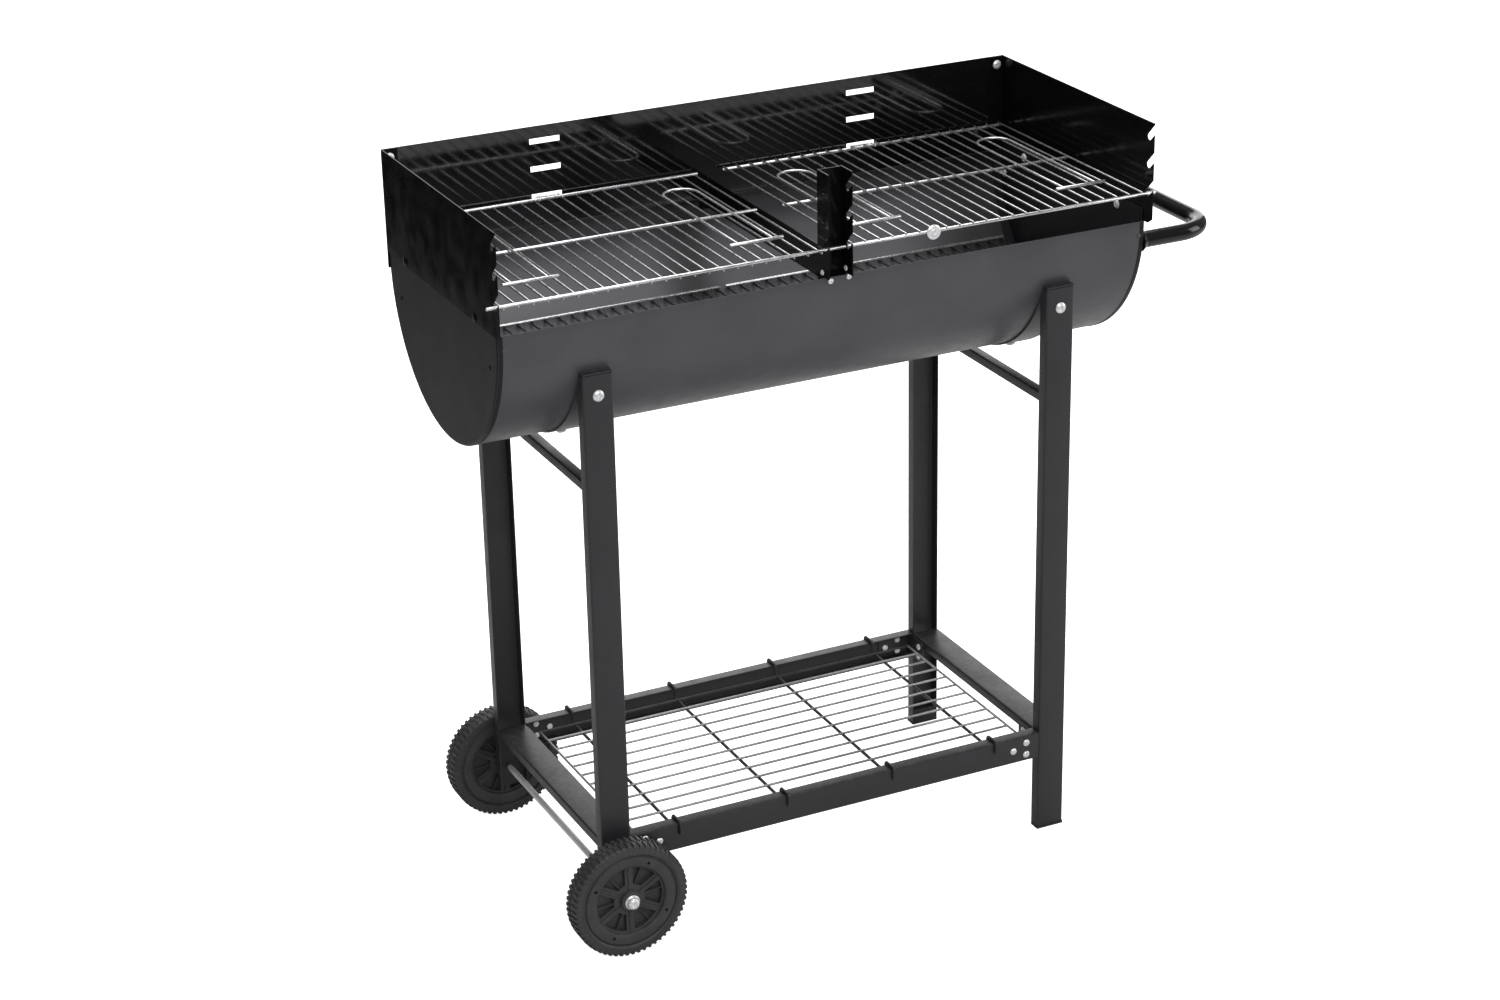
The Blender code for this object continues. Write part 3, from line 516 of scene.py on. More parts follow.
def add_end_cap(x_sign, end):
    """Pressed disc that laps the shell, with a turned-in flange and rivets."""
    def at_depth(depth):
        return MID_X + x_sign * (CAP_HALF - depth)

    section = [(BOWL_R + dr, depth) for dr, depth in CAP_SHOULDER]
    arcs = [bowl_arc(radius) for radius, _ in section]
    bands = [[(at_depth(d), -r, CAP_RIM_Z) for r, d in section]]
    bands += [[(at_depth(d), *arcs[k][i]) for k, (_, d) in enumerate(section)]
              for i in range(len(arcs[0]))]
    bands += [[(at_depth(d), r, CAP_RIM_Z) for r, d in section]]

    # flat disc with the tab behind the guard
    radius, tab = section[0][0], CAP_TAB_HALF
    face = ([(-tab, CAP_TOP_Z), (-tab, CAP_RIM_Z), (-radius, CAP_RIM_Z)] + bowl_arc(radius)
            + [(radius, CAP_RIM_Z), (tab, CAP_RIM_Z), (tab, CAP_TOP_Z)])
    disc = extrude_x(face, [at_depth(0.0), at_depth(BOWL_SHEET)])
    add_piece(f"end_cap_pressed_{end}", CAP, [loft(bands), disc],
              node=f"end_cap_{end}")

    radius = BOWL_R - BOWL_SHEET - 0.0003
    outline = bowl_arc(radius) + bowl_arc(radius - BOWL_SHEET)[::-1]
    depths = (BOWL_SHEET + 0.0002, 0.0125, 0.0130)
    add_piece(f"end_cap_inner_flange_{end}", CAP,
              [extrude_x(outline, [at_depth(d) for d in depths])])

    for i, (y, z) in enumerate(CAP_RIVETS):
        rivet = screw_head((at_depth(-0.0001), y, z), (x_sign, 0, 0), radius=0.0028,
                           height=0.0012, segments=20, recess=False)
        add_piece(f"cap_rivet_{end}_{i}", CAP, [rivet], sharp=50)
    reach = (BOWL_R + 0.0004) * math.cos(math.asin((BOWL_Z - SHELL_RIVET_Z) / BOWL_R))
    for y_sign, side in SIDES:
        at = (MID_X + x_sign * SHELL_RIVET_X, y_sign * reach, SHELL_RIVET_Z)
        rivet = screw_head(at, (0, y_sign, 0), radius=0.0026, height=0.0011,
                           segments=20, recess=False)
        add_piece(f"shell_rivet_{end}_{side}", BOWL, [rivet], sharp=50)


add_shell()
for x_sign, end in ENDS:
    add_end_cap(x_sign, end)


# ---------------------------------------------------------------- frame: rolled channels
def add_frame_piece(name, shapes, node, bevel=FRAME_BEVEL):
    add_piece(name, FRAME, shapes, node=node, sharp=30, bevel=bevel)


def add_leg(y_sign, side, end):
    """Upright channel, its top cut back to clear the round bowl."""
    node = f"leg_{side}_{end}"
    low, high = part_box(node)
    x_mid, outer = (low.x + high.x) / 2, outer_y(node, y_sign)
    outline = channel(high.x - low.x, high.y - low.y, corner=0.0028)
    cut_radius, cut_z = BOWL_R + 0.0028, 0.715
    levels = [low.z, low.z + 0.3, 0.60, cut_z]
    levels += [cut_z + (high.z - cut_z) * i / 12 for i in range(1, 13)]
    outlines = []
    for z in levels:
        clear = math.sqrt(max(cut_radius ** 2 - (BOWL_Z - z) ** 2, 0.0)) if z > 0.70 else 0.0
        outlines.append([(x_mid + u, y_sign * max(outer + v, clear), z) for u, v in outline])
    add_frame_piece(f"leg_channel_{side}_{end}", [loft(outlines)], node)


def add_y_channel(name, node, corner):
    """Channel along Y with its web on top."""
    low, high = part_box(node)
    x_mid = (low.x + high.x) / 2
    outline = channel(high.x - low.x, high.z - low.z, corner)
    shape = loft([[(x_mid + u, y, high.z + v) for u, v in outline]
                  for y in (low.y, 0.0, high.y)])
    add_frame_piece(name, [shape], node)


def add_saddle_strap(end):
    """Strap round the bowl, turned out over the leg tops and down inside the legs."""
    node = f"saddle_strap_{end}"
    low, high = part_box(node)
    x0, x1, top = low.x, high.x, high.z
    inner, outer = BOWL_R + 0.0003, BOWL_R + 0.0023
    leg_top = top - 0.0023
    leg_y = max(abs(low.y), abs(high.y))
    half_angle = math.acos((BOWL_Z - top) / outer)
    outline = bowl_arc(outer, half_angle, 64) + bowl_arc(inner, half_angle, 64)[::-1]
    shapes = [extrude_x(outline, (x0, x1))]
    edge, cut = 0.0025, 0.0085       # tab's inset from the strap edge, and at its cut corners
    tab = ((x0 + edge, leg_top + 0.001), (x0 + edge, 0.706), (x0 + cut, 0.700),
           (x1 - cut, 0.700), (x1 - edge, 0.706), (x1 - edge, leg_top + 0.001))   # x, z
    for y_sign, _ in SIDES:
        y0, y1 = sorted((y_sign * leg_y,
                         y_sign * (inner * math.sin(half_angle) + 0.0004)))
        shapes.append(box(x0 + 0.0002, x1 - 0.0002, y0, y1, leg_top, top - 0.0002))
        faces_y = [y_sign * (leg_y - FRAME_SHEET - gap) for gap in (0.0008, 0.0028)]
        shapes.append(loft([[(x, y, z) for x, z in tab] for y in faces_y]))
    add_frame_piece(f"saddle_strap_bent_{end}", shapes, node, bevel=0.0004)


def add_long_rail(y_sign, side):
    """Channel along X with its web facing out."""
    node = f"shelf_rail_{side}"
    low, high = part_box(node)
    z_mid, outer = (low.z + high.z) / 2, outer_y(node, y_sign)
    outline = channel(high.z - low.z, high.y - low.y, corner=0.0026)
    shape = loft([[(x, y_sign * (outer + v), z_mid + u) for u, v in outline]
                  for x in (low.x, 0.0, high.x)])
    add_frame_piece(f"long_rail_channel_{side}", [shape], node)


for _, end in ENDS:
    for y_sign, side in SIDES:
        add_leg(y_sign, side, end)
    add_y_channel(f"side_rail_channel_{end}", f"shelf_rail_{end}", corner=0.0026)
    add_y_channel(f"cross_bar_channel_{end}", f"upper_crossbar_{end}", corner=0.0022)
    add_saddle_strap(end)
for y_sign, side in SIDES:
    add_long_rail(y_sign, side)


# ---------------------------------------------------------------- fasteners
def add_fastener(name, at, axis, grip, node=None, head=(0.0066, 0.0032), shank=0.0028,
                 nut=(0.0056, 0.0040), spin=0.4):
    """Head on `at`, dome away from `axis`; shank and nut along it. Head, nut: radius, height."""
    axis, at = Vector(axis).normalized(), Vector(at)
    end = grip + nut[1]
    add_piece(name, ZINC, [
        screw_head(at, -axis, *head, spin=spin),
        revolve([(0.0, shank), (end + 0.0012, shank), (end + 0.0016, shank * 0.8)], at, axis, 20),
        hex_nut(at + axis * grip, axis, *nut)], node=node, sharp=28)


def add_screw(name, at, axis, radius, height, spin=0.3):
    """A bare head."""
    head = screw_head(at, axis, radius, height, spin=spin)
    add_piece(name, ZINC, [head])


def add_guard_screw(x_sign, end, y_sign, side):
    """Screw from inside the bowl through cap and guard, with a plain painted outer end."""
    node = f"guard_bolt_{end}_{side}"
    centre, outward = middle(node), (x_sign, 0, 0)
    at = Vector((MID_X + x_sign * (CAP_HALF - BOWL_SHEET - 0.0002), centre.y, centre.z))
    add_piece(f"guard_screw_{end}_{side}", ZINC, [
        screw_head(at, (-x_sign, 0, 0), radius=0.0056, height=0.0030, spin=0.4 + y_sign),
        revolve([(0.0, 0.0028), (2 * BOWL_SHEET + 0.0010, 0.0028)], at, outward, 20)],
        node=node, sharp=28)
    at.x += x_sign * (2 * BOWL_SHEET + 0.0008)
    add_piece(f"guard_screw_end_{end}_{side}", GLOSS_SHADED_COPY,
              [screw_head(at, outward, radius=0.0052, height=0.0016, segments=28,
                          recess=False)], sharp=40)


def add_leg_screw(x_sign, end, y_sign, side):
    node = f"leg_bolt_{side}_{end}"
    centre = middle(node)
    face_y = y_sign * (outer_y(f"leg_{side}_{end}", y_sign) + 0.0001)
    add_fastener(f"leg_screw_{side}_{end}", (centre.x, face_y, centre.z), (0, -y_sign, 0),
                 grip=0.0046, node=node, head=(0.0070, 0.0034), spin=0.2 + x_sign)


def add_strap_screw(end, side):
    """Screw pointing at the bowl's centre line."""
    node = f"strap_bolt_{end}_{side}"
    centre = middle(node)
    out = Vector((0, centre.y, centre.z - BOWL_Z)).normalized()
    at = Vector((centre.x, 0, BOWL_Z)) + out * (BOWL_R + 0.0026)
    add_fastener(f"strap_screw_{end}_{side}", at, -out, grip=0.0042, node=node,
                 head=(0.0060, 0.0030), nut=(0.0048, 0.0032))


def add_handle_screw(side):
    node = f"handle_bolt_{side}"
    centre = middle(node)
    at = (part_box(node)[0].x + 0.0044, centre.y, centre.z)
    add_piece(f"handle_screw_{side}", ZINC, [
        screw_head(at, (-1, 0, 0), radius=0.0062, height=0.0034),
        revolve([(0.0, 0.0031), (0.0185, 0.0031), (0.020, 0.0022)], at, (1, 0, 0), 20)],
        node=node, sharp=28)


RAIL_SCREWS = ((0.0185, 0.0080), (0.0185, -0.0085), (0.0375, 0.0))  # in from rail end, up
BRACKET_SCREWS = (0.006, -0.008)                                    # up from rail middle


def add_corner_screws(x_sign, end, y_sign, side):
    """Three screws through the long rail and two heads on the bracket's other leaf."""
    rail = f"shelf_rail_{side}"
    low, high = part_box(rail)
    z_mid, outer = (low.z + high.z) / 2, outer_y(rail, y_sign)
    rail_end = high.x if x_sign > 0 else low.x
    for i, (inset, up) in enumerate(RAIL_SCREWS):
        at = (rail_end - x_sign * inset, y_sign * (outer + 0.0001), z_mid + up)
        add_fastener(f"shelf_screw_{side}_{end}_{i}", at, (0, -y_sign, 0), grip=0.0034,
                     head=(0.0046, 0.0024), shank=0.0018, nut=(0.0044, 0.0030),
                     spin=i * 0.9 + x_sign)
    low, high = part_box(f"corner_bracket_{side}_{end}")
    leaf_x = (high.x if x_sign > 0 else low.x) - x_sign * (0.0015 + 0.0001)
    for i, up in enumerate(BRACKET_SCREWS):
        head = screw_head((leaf_x, y_sign * (outer - 0.036), z_mid + up), (-x_sign, 0, 0),
                          radius=0.0044, height=0.0023, spin=i)
        add_piece(f"bracket_screw_{side}_{end}_{i}", ZINC, [head], sharp=28)


def add_post_screws():
    """Heads on the centre post's walls, its ear and its foot."""
    post_half, front_y = 0.016, -(BOWL_R + 0.0002)
    left, right, front = (-1, 0, 0), (1, 0, 0), (0, -1, 0)
    # name, x from the bowl's middle, y, z, axis, radius
    screws = (
        ("left", -post_half - 0.0001, -0.1722, 0.8140, left, 0.0034),
        ("right_inner", post_half - 0.0016, -0.1727, 0.8148, left, 0.0034),
        ("right_outer", post_half + 0.0001, -0.1727, 0.8148, right, 0.0034),
        ("ear", 0.0175, front_y, RIM_Z - 0.0030, front, 0.0034),
        ("front", -0.0065, front_y, RIM_Z - 0.0045, front, 0.0036))
    for name, x, y, z, axis, radius in screws:
        head = screw_head((MID_X + x, y, z), axis, radius, height=0.0020)
        add_piece(f"post_screw_{name}", ZINC, [head], sharp=28)


for x_sign, end in ENDS:
    for y_sign, side in SIDES:
        add_guard_screw(x_sign, end, y_sign, side)
        add_leg_screw(x_sign, end, y_sign, side)
        add_strap_screw(end, side)
    node = f"guard_corner_bolt_{end}"
    centre = middle(node)
    add_fastener(f"guard_corner_screw_{end}", (centre.x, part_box(node)[0].y + 0.0038, centre.z),
                 (0, 1, 0), grip=0.0031, node=node, head=(0.0058, 0.0028))
for _, side in SIDES:
    add_handle_screw(side)
for y_sign, side in SIDES:
    for x_sign, end in ENDS:
        add_corner_screws(x_sign, end, y_sign, side)
add_post_screws()

# ---------------------------------------------------------------- grates
ROD_COUNT = 23


def rod_places(x_sign, first, last):
    """X of each rod; first and last are distances from the bowl's middle."""
    return [MID_X + x_sign * (first + (last - first) * i / (ROD_COUNT - 1))
            for i in range(ROD_COUNT)]


def add_cooking_grate(x_sign, end):
    """Three long wires with a rear hook and two lifting loops, and cross rods.

    The left grate has its rods under the long wires, the right one over them.
    """
    node = f"cooking_grate_{end}"
    low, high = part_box(node)
    z = (low.z + high.z) / 2
    front_y, rear_y = low.y + 0.0022, 0.166
    wire_r, rod_r = 0.0021, 0.00125
    wires = [wire_x(low.x + 0.001, high.x - 0.001, front_y, z, wire_r, 14)]
    x0, x1 = sorted((x_sign * 0.0180, x_sign * 0.4190))
    wires += [wire_x(MID_X + x0, MID_X + x1, y, z, wire_r, 14) for y in (-0.002, rear_y)]

    # rear hook in the back panel's slot
    hook_x, hook_half, corner = MID_X + x_sign * 0.217, 0.0155, 0.004
    corner_y = high.y - 0.0018 - corner
    hook = [(hook_x - hook_half, rear_y - 0.004)]
    hook += arc(hook_x - hook_half + corner, corner_y, corner, math.pi, math.pi / 2, 5)
    hook += arc(hook_x + hook_half - corner, corner_y, corner, math.pi / 2, 0, 5)
    hook += [(hook_x + hook_half, rear_y - 0.004)]
    wires.append(tube([(x, y, z) for x, y in hook], 0.0017, 12))

    # lifting loops: a long round-ended U with a bar across its open end
    loop_z, half = z + wire_r + 2 * rod_r + 0.0008, 0.0225
    for place in (0.078, 0.362):
        x_mid = MID_X + x_sign * place
        loop = [(x_mid - half, -0.124), (x_mid - half, -0.02)]
        loop += arc(x_mid, 0.104 - half, half, math.pi, 0, 16)
        loop += [(x_mid + half, -0.02), (x_mid + half, -0.124)]
        wires.append(tube([(x, y, loop_z) for x, y in loop], 0.0016, 12))
        wires.append(wire_x(x_mid - 0.034, x_mid + 0.034, -0.1255, loop_z + 0.0006, 0.0022, 12))
    add_piece(f"cooking_grate_wires_{end}", CHROME, wires, node=node,
              body=node, sharp=50)

    rod_z = z + x_sign * (wire_r + rod_r - 0.0005)
    rods = [wire_y(front_y - 0.0016, rear_y + 0.0016, x, rod_z, rod_r)
            for x in rod_places(x_sign, 0.0195, 0.4165)]
    add_piece(f"cooking_grate_rods_{end}", ROD, rods, body=node, sharp=50)


# distance towards the front, radius
BUTTON_PROFILE = (
    (0.0, 0.0), (0.0, 0.0082), (0.0006, 0.0090), (0.0017, 0.0092), (0.0028, 0.0080),
    (0.0034, 0.0062), (0.0030, 0.0048), (0.0028, 0.0038), (0.0042, 0.0034),
    (0.0046, 0.0020), (0.0046, 0.0))


def add_grate_button():
    centre = middle("grate_button")
    at = (centre.x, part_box("grate_button")[1].y, centre.z)
    add_piece("grate_button_domed", ZINC, [revolve(BUTTON_PROFILE, at, (0, -1, 0), 40)],
              node="grate_button", body="cooking_grate_right", sharp=40)


def add_charcoal_grate(x_sign, end):
    node = f"charcoal_grate_{end}"
    low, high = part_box(node)
    z = (low.z + high.z) / 2
    wire_r, rod_r, wire_y_out, rod_half = 0.0021, 0.0017, 0.1365, 0.1382
    wires = [wire_x(low.x + 0.0008, high.x - 0.0008, y, z, wire_r, 12)
             for y in (-wire_y_out, 0.0, wire_y_out)]
    rods = [wire_y(-rod_half, rod_half, x, z - wire_r - rod_r + 0.0008, rod_r)
            for x in rod_places(x_sign, 0.0075, 0.4045)]
    add_piece(f"charcoal_grate_wires_{end}", CHROME, wires, node=node,
              body=node, sharp=50)
    add_piece(f"charcoal_grate_rods_{end}", COAL, rods, body=node, sharp=50)


for x_sign, end in ENDS:
    add_cooking_grate(x_sign, end)
add_grate_button()
for x_sign, end in ENDS:
    add_charcoal_grate(x_sign, end)


# ---------------------------------------------------------------- wire shelf
def add_wire_shelf():
    """Long wires with end wires, carried by cross wires hooked over the long rails."""
    low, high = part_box("wire_shelf")
    edge = 0.0018                    # box edge to wire centre
    half_x, half_y, wire_r = (high.x - low.x) / 2 - edge, 0.148, 0.0016
    bottom_z, top_z, tip_z = low.z + edge, high.z - edge, 0.128
    inner, outer, bend = 0.1570, high.y - edge, 0.0032
    wire_z = bottom_z + 0.0021
    wires = [wire_x(MID_X - half_x, MID_X + half_x, -half_y + 2 * half_y * i / 11,
                    wire_z, wire_r, 10) for i in range(12)]
    rear_wire = wires.pop()
    wires += [wire_y(-half_y, half_y, MID_X + x, wire_z, wire_r) for x in (-half_x, half_x)]

    # rear half of a hooked wire: out, up, over and down; (y, z)
    up = math.pi / 2
    half = ([(0.12, bottom_z)]
            + arc(inner - bend, bottom_z + bend, bend, -up, 0, 4)
            + arc(inner + bend, top_z - bend, bend, math.pi, up, 4)
            + arc(outer - bend, top_z - bend, bend, up, 0, 4)
            + [(outer, tip_z)])
    path = [(-y, z) for y, z in half[::-1]] + [(0.0, bottom_z)] + half
    hooked = [tube([(MID_X + x, y, z) for y, z in path], 0.0021, 12)
              for x in (-0.222, -0.074, 0.074, 0.222)]
    for name, material, shapes, node in (
            ("shelf_rear_wire", SHELF, [rear_wire], None),
            ("shelf_long_wires", RACK, wires, "wire_shelf"),
            ("shelf_hooked_cross_wires", SHELF, hooked, None)):
        add_piece(name, material, shapes, node=node, body="wire_shelf", sharp=50)


add_wire_shelf()

# ---------------------------------------------------------------- wheels
# Wheel tables are in mm: depth in from the outer face, radius.
WHEEL_WIDTH = 30.0
W = WHEEL_WIDTH
BORE = 4.45
DISC_PROFILE = (
    (38, BORE), (0.3, BORE), (0.0, BORE + 0.6), (0.0, 11.0), (0.6, 12.4), (1.8, 13.0),
    (6.6, 13.3), (7.0, 14.5), (7.0, 42.5), (6.2, 44.5), (2.6, 46.0), (1.6, 47.5),
    (1.3, 50), (1.3, 56.5), (1.8, 58.6), (3.4, 59.6), (4.0, 61.8), (W - 4, 61.8),
    (W - 3.4, 59.6), (W - 1.8, 58.6), (W - 1.3, 56.5), (W - 1.3, 50), (W - 1.6, 47.5),
    (W - 2.6, 46.0), (W - 6.2, 44.5), (W - 7.0, 42.5), (W - 7.0, 14.5), (W - 6.6, 13.3),
    (37.6, 12.2), (38.0, 11.6))
TYRE_PROFILE = (
    (4.0, 60.6), (2.2, 61.2), (0.9, 62.6), (0.4, 65.0), (0.6, 69.0), (1.4, 71.6),
    (2.6, 72.7), (4.4, 73.1), (14.4, 73.2), (15.6, 73.2), (W - 4.4, 73.1), (W - 2.6, 72.7),
    (W - 1.4, 71.6), (W - 0.6, 69.0), (W - 0.4, 65.0), (W - 1.0, 62.6), (W - 4.0, 61.0))
BEAD_PROFILE = ((0.9, 63.0), (0.1, 63.6), (0.1, 64.2), (0.9, 64.8))   # line on the sidewall
# stations of a tread lug: depth, radius at its top, radius at its foot
LUG_STATIONS = (
    (0.25, 68.2, 64.6), (0.75, 72.9, 68.0), (2.0, 74.6, 70.5), (4.2, 74.95, 71.5),
    (13.0, 74.95, 71.5), (14.0, 74.3, 71.5))
LUG_COUNT = 60
LUG_FOOT_HALF, LUG_TOP_HALF = 2.15, 1.65
WINDOW_IN, WINDOW_OUT = 20.5, 43.0       # radii of the six windows between the spokes
SPOKE_HALF = 5.2
# depth, half thickness at the outer and inner edge of each radial bar
RIB_EDGES = ((5.6, 1.2), (8.5, 1.2))
WINDOW_BAR_EDGES = ((8.6, 0.8), (14.0, 1.2))
# metres: distance outwards, radius
AXLE_CAP_PROFILE = (
    (0.0, 0.0), (0.0, 0.0094), (0.0008, 0.0097), (0.0018, 0.0094), (0.0024, 0.0084),
    (0.0030, 0.0080), (0.0055, 0.0076), (0.0074, 0.0064), (0.0083, 0.0048),
    (0.0084, 0.0038), (0.0072, 0.0032), (0.0068, 0.0022), (0.0075, 0.0))


def window_cutter(polar, inward):
    """Blind windows from both faces, leaving a web, and four small round holes."""
    half_in, half_out = [math.radians(30) - math.asin(SPOKE_HALF / r)
                         for r in (WINDOW_IN, WINDOW_OUT)]
    shapes = []
    for window in range(6):
        mid = math.radians(30 + 60 * window)
        rim = [(WINDOW_IN, mid - half_in + 2 * half_in * i / 6) for i in range(7)]
        rim += [(WINDOW_OUT, mid + half_out - 2 * half_out * i / 10) for i in range(11)]
        for depths in ((-2, 13.5), (16.5, WHEEL_WIDTH + 2)):
            shapes.append(loft([[polar(r, a, d) for r, a in rim] for d in depths]))
    for hole in range(4):
        at = polar(52.0, math.radians(28 + 90 * hole), -1)
        shapes.append(revolve([(0.0, 0.0022), (0.010, 0.0022)], at, inward, 20))
    return shapes


def radial_bars(polar, angle, r0, r1, edges):
    """A radial bar on the outer face and its twin on the inner face."""
    across = Vector((math.cos(angle), 0, -math.sin(angle)))
    corners = ((r0, -1), (r1, -1), (r1, 1), (r0, 1))
    shapes = []
    for twin in (edges, [(WHEEL_WIDTH - depth, half) for depth, half in edges]):
        shapes.append(loft([[Vector(polar(r, angle, depth)) + across * (sign * half * MM)
                             for r, sign in corners] for depth, half in twin]))
    return shapes


def tread_lugs(polar, wheel_r):
    """Two rows of lugs, the inner row half a pitch on."""
    foot, top = LUG_FOOT_HALF * MM / wheel_r, LUG_TOP_HALF * MM / wheel_r   # half angles
    shapes = []
    for i in range(LUG_COUNT):
        for row in (0, 1):
            a = 2 * math.pi * (i + 0.5 * row) / LUG_COUNT
            outlines = []
            for depth, r_top, r_foot in LUG_STATIONS:
                d = depth if row == 0 else WHEEL_WIDTH - depth
                outlines.append([polar(r_foot, a - foot, d), polar(r_foot, a + foot, d),
                                 polar(r_top, a + top, d), polar(r_top, a - top, d)])
            shapes.append(loft(outlines))
    return shapes


def cut_away(obj, cutter):
    """Subtract the cutter for good, then delete it."""
    cut = obj.modifiers.new("windows", "BOOLEAN")
    cut.operation = "DIFFERENCE"
    cut.object = cutter
    cut.solver = "EXACT"
    graph = bpy.context.evaluated_depsgraph_get()
    mesh = bpy.data.meshes.new_from_object(obj.evaluated_get(graph))
    obj.modifiers.clear()
    obj.data = mesh
    bpy.data.objects.remove(cutter)


def add_wheel(y_sign, side):
    node = f"wheel_{side}"
    low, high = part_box(node)
    axle_x, axle_z = (low.x + high.x) / 2, (low.z + high.z) / 2
    face_y = y_sign * outer_y(node, y_sign)
    inward = (0, -y_sign, 0)

    def polar(radius, angle, depth):
        """Point at radius and depth in mm, angle from straight up towards +X."""
        return (axle_x + radius * MM * math.sin(angle), face_y - y_sign * depth * MM,
                axle_z + radius * MM * math.cos(angle))

    def turned(profile, steps):
        return revolve([(depth * MM, radius * MM) for depth, radius in profile],
                       (axle_x, face_y, axle_z), inward, steps, closed=True)

    disc = make_object(f"wheel_disc_{side}", WHEEL, [turned(DISC_PROFILE, 120)], sharp=30)
    cutter = make_object(f"wheel_cutter_{side}", WHEEL, window_cutter(polar, inward), sharp=None)
    cut_away(disc, cutter)
    shade(disc.data, sharp=30)
    add_bevel(disc, 0.0004, over_angle=50)
    register(disc, node, body=node)

    ribs = []
    for i in range(6):
        ribs += radial_bars(polar, math.radians(60 * i), 12.6, 45.5, RIB_EDGES)
        ribs += radial_bars(polar, math.radians(60 * i + 24), 19.0, 44.0, WINDOW_BAR_EDGES)
    add_piece(f"wheel_ribs_{side}", WHEEL, ribs, body=node,
              sharp=25, bevel=0.0003)

    tyre = [turned(TYRE_PROFILE, 144)]
    tyre += tread_lugs(polar, (high.z - low.z) / 2)
    tyre.append(turned(BEAD_PROFILE, 120))
    add_piece(f"wheel_tread_{side}", WHEEL, tyre, body=node, sharp=28)

    # push-on cap over the axle end
    low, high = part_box(f"axle_cap_{side}")
    at = (axle_x, low.y if y_sign > 0 else high.y, axle_z)
    add_piece(f"axle_push_cap_{side}", ZINC,
              [revolve(AXLE_CAP_PROFILE, at, (0, y_sign, 0), 48)],
              node=f"axle_cap_{side}", sharp=40)


def add_axle():
    low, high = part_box("axle")
    radius, half = (high.z - low.z) / 2, (high.y - low.y) / 2
    profile = [(-half, radius * 0.7), (-half + 0.0008, radius), (-half + 0.03, radius),
               (0, radius), (half - 0.03, radius), (half - 0.0008, radius),
               (half, radius * 0.7)]
    centre = ((low.x + high.x) / 2, 0, (low.z + high.z) / 2)
    add_piece("axle_rod", AXLE, [revolve(profile, centre, (0, 1, 0), 32)],
              node="axle", sharp=40)


for y_sign, side in SIDES:
    add_wheel(y_sign, side)
add_axle()

# ---------------------------------------------------------------- push handle
# distance out from the end cap, radius
COLLAR_PROFILE = ((0.0002, 0.0108), (0.0002, 0.0138), (0.0008, 0.0142), (0.0026, 0.0128),
                  (0.0060, 0.0110), (0.0060, 0.0102), (0.0002, 0.0102))


def add_push_handle():
    """U-shaped tube lying flat, with a collar where each arm meets the cap."""
    low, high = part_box("push_handle")
    radius, z = (high.z - low.z) / 2, (high.z + low.z) / 2
    arm_y, bar_x, bend = (high.y - low.y) / 2 - radius, high.x - radius, 0.048
    corner = arc(bar_x - bend, arm_y - bend, bend, math.pi / 2, 0, 20)
    path = ([(low.x, -arm_y)] + [(x, -y) for x, y in corner] + corner[::-1]
            + [(low.x, arm_y)])
    add_piece("push_handle_tube", HANDLE,
              [tube([(x, y, z) for x, y in path], radius, 32, rounded=False)],
              node="push_handle", sharp=40)
    for y_sign, side in SIDES:
        collar = revolve(COLLAR_PROFILE, (MID_X + CAP_HALF, y_sign * arm_y, z), (1, 0, 0),
                         40, closed=True)
        add_piece(f"handle_collar_{side}", HANDLE, [collar], sharp=40)


add_push_handle()

# ---------------------------------------------------------------- CAD nodes kept as they are
# node, material, slot, bevel width
KEPT_NODES = (
    ("wind_guard_left", GLOSS_SHADED_COPY, "guard_gloss", 0.0004),
    ("wind_guard_right", GLOSS_SHADED_COPY, "guard_gloss", 0.0004),
    ("wind_guard_back", GLOSS, "guard_gloss", 0.0004),
    ("centre_post", GLOSS_SHADED_COPY, "guard_gloss", 0.0004),
    ("centre_divider", GLOSS_SHADED_COPY, "guard_gloss", 0.0003),
    ("corner_bracket_front_left", FRAME, "frame_satin", 0.0004),
    ("corner_bracket_front_right", FRAME, "frame_satin", 0.0004),
    ("corner_bracket_rear_left", FRAME, "frame_satin", 0.0004),
    ("corner_bracket_rear_right", FRAME, "frame_satin", 0.0004),
    ("foot_plug_front_right", FOOT, "foot_plastic", 0.0006),
    ("foot_plug_rear_right", FOOT, "foot_plastic", 0.0006))
for node, material, slot, bevel in KEPT_NODES:
    obj = NODES[node]
    obj.data.materials.clear()
    obj.data.materials.append(material)
    add_bevel(obj, bevel, over_angle=40)


# ---------------------------------------------------------------- stage
def add_sheet(name, corners, material):
    mesh = bpy.data.meshes.new(name)
    mesh.from_pydata(corners, [], [(0, 1, 2, 3)])
    mesh.materials.append(material)
    sheet = bpy.data.objects.new(name, mesh)
    bpy.context.scene.collection.objects.link(sheet)
    return sheet


def floor_material():
    """Near white to the camera, mid grey to every other ray."""
    material = bpy.data.materials.new("pale_floor")
    tree = new_tree(material)
    tree.nodes.remove(tree.nodes["Principled BSDF"])
    camera_ray = add_node(tree, "LightPath").outputs["Is Camera Ray"]
    white = add_node(tree, "BsdfDiffuse", {"Color": (0.90, 0.90, 0.90, 1)})
    glow = add_node(tree, "Emission", {"Color": (1, 1, 1, 1), "Strength": 0.88})
    seen = add_node(tree, "AddShader", {0: white.outputs["BSDF"], 1: glow.outputs["Emission"]})
    grey = add_node(tree, "BsdfDiffuse", {"Color": (0.62, 0.62, 0.62, 1)})
    mix = add_node(tree, "MixShader", {
        "Fac": camera_ray, 1: grey.outputs["BSDF"], 2: seen.outputs["Shader"]})
    tree.links.new(mix.outputs["Shader"], tree.nodes["Material Output"].inputs["Surface"])
    return material


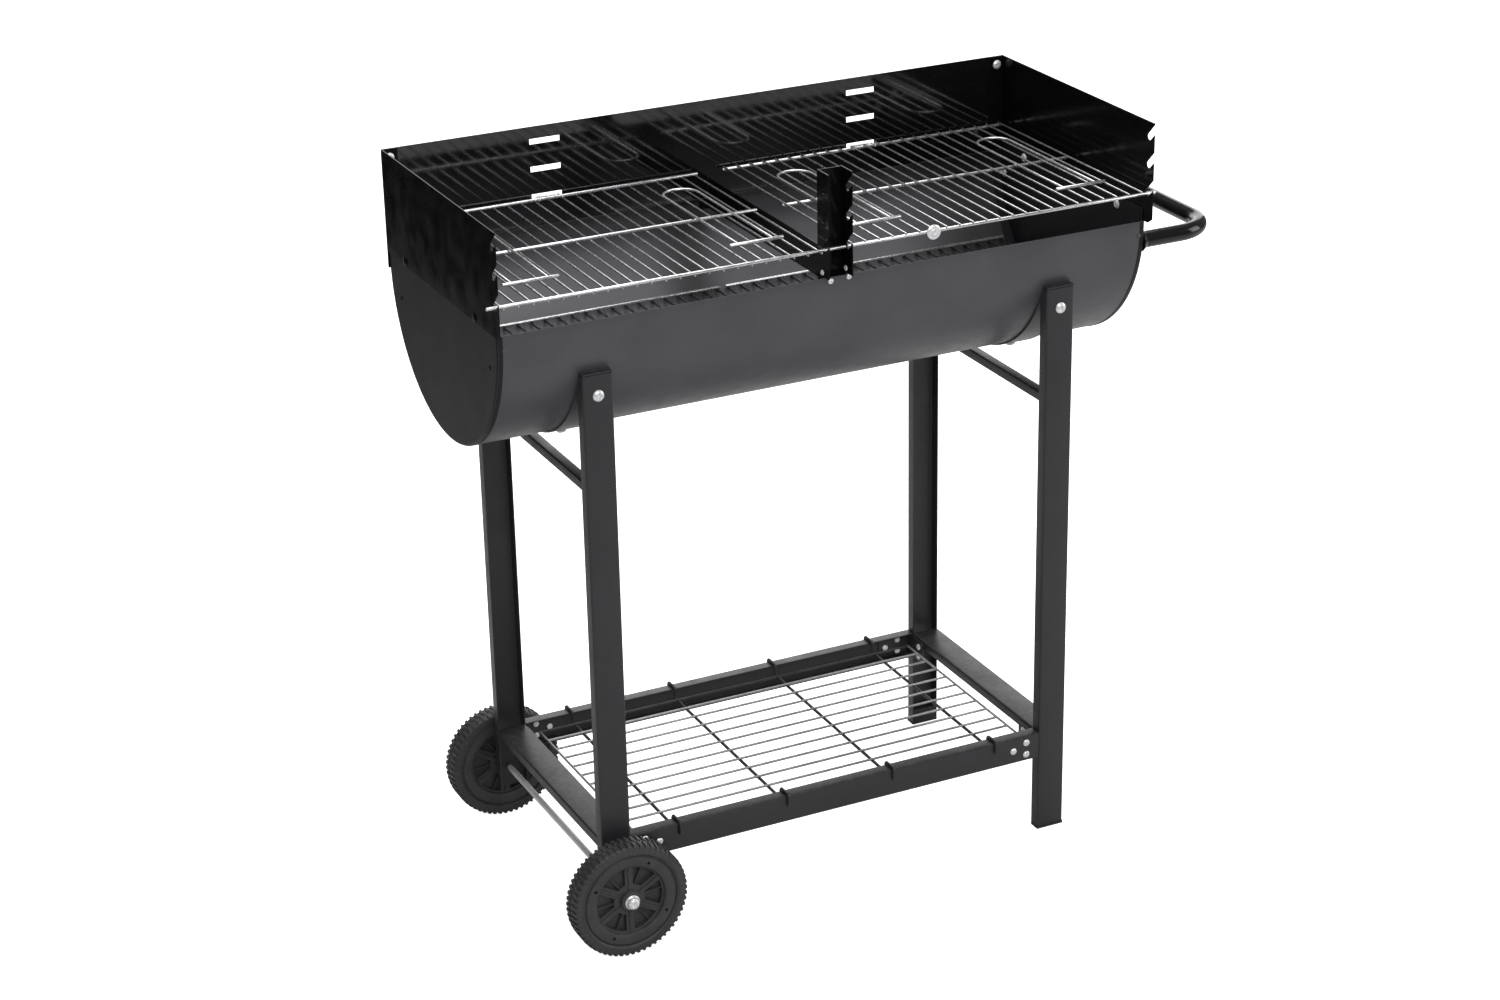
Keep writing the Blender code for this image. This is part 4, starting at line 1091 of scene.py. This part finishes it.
def set_world():
    """White world, bright to the camera and dim as a light."""
    world = bpy.data.worlds.new("studio")
    bpy.context.scene.world = world
    tree = new_tree(world)
    background = tree.nodes["Background"]
    background.inputs["Color"].default_value = (1, 1, 1, 1)
    camera_ray = add_node(tree, "LightPath").outputs["Is Camera Ray"]
    strength = add_node(tree, "MapRange", {"To Min": 0.18, "To Max": 1.0, "Value": camera_ray})
    tree.links.new(strength.outputs["Result"], background.inputs["Strength"])


def add_softbox(name, at, width, height, power):
    """Area light aimed at the middle of the grill."""
    light = bpy.data.lights.new(name, "AREA")
    light.shape = "RECTANGLE"
    light.size = width
    light.size_y = height
    light.energy = power
    obj = bpy.data.objects.new(name, light)
    bpy.context.scene.collection.objects.link(obj)
    obj.location = at
    aim = Vector((MID_X, 0.0, 0.55)) - Vector(at)
    obj.rotation_euler = aim.to_track_quat("-Z", "Y").to_euler()
    return obj


def add_black_card():
    """Card off to the rear left, unseen, so that the gloss panel there reads black."""
    material = bpy.data.materials.new("card_black")
    inputs = new_tree(material).nodes["Principled BSDF"].inputs
    inputs["Base Color"].default_value = (0.01, 0.01, 0.01, 1)
    inputs["Roughness"].default_value = 1.0
    inputs["Specular IOR Level"].default_value = 0.0
    x, y0, y1, z0, z1 = MID_X - 1.15, 0.95, 3.2, 0.02, 1.5
    card = add_sheet("black_card", [(x, y0, z0), (x, y1, z0), (x, y1, z1), (x, y0, z1)],
                     material)
    card.visible_camera = False
    card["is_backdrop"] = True


def add_camera():
    """Camera in front and to the left, looking down; angles in radians."""
    place = (-1.5950794 + MID_X, -3.2655534, 2.0093781)
    yaw, pitch, roll = 0.4461, 0.4032, -0.0207
    forward = Vector((math.sin(yaw) * math.cos(pitch), math.cos(yaw) * math.cos(pitch),
                      -math.sin(pitch)))
    level = Vector((math.cos(yaw), -math.sin(yaw), 0))
    upright = level.cross(forward)
    right = math.cos(roll) * level + math.sin(roll) * upright
    up = -math.sin(roll) * level + math.cos(roll) * upright
    data = bpy.data.cameras.new("camera")
    data.sensor_width = 36.0
    data.lens = 75.5715984
    data.clip_end = 100
    camera = bpy.data.objects.new("camera", data)
    bpy.context.scene.collection.objects.link(camera)
    rows = [(right[i], up[i], -forward[i], place[i]) for i in range(3)]
    camera.matrix_world = Matrix((*rows, (0, 0, 0, 1)))
    bpy.context.scene.camera = camera


add_sheet("floor", [(-30, -30, 0), (30, -30, 0), (30, 30, 0), (-30, 30, 0)],
                   floor_material())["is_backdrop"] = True
set_world()
add_softbox("key_softbox", at=(-0.6, -3.0, 2.6), width=2.6, height=1.8, power=64)
rear = add_softbox("rear_softbox", at=(1.6, 3.4, 1.5), width=4.2, height=1.8, power=46)
rear.visible_camera = False
add_softbox("top_softbox", at=(0.2, 0.6, 3.4), width=3.0, height=2.4, power=105)
add_softbox("right_softbox", at=(3.2, -1.4, 1.6), width=1.6, height=2.2, power=34)
add_black_card()
add_camera()
bpy.context.scene.view_settings.view_transform = "Standard"


# ---------------------------------------------------------------- sizes
def plain(value):
    """Bounds as plain lists and floats for JSON."""
    if isinstance(value, dict):
        return {key: plain(item) for key, item in value.items()}
    if isinstance(value, (list, tuple, Vector)):
        return [plain(item) for item in value]
    return float(value)


bpy.context.view_layer.update()
{"cad_box": plain(CAD_BOUNDS), "visual_box": plain(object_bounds())}
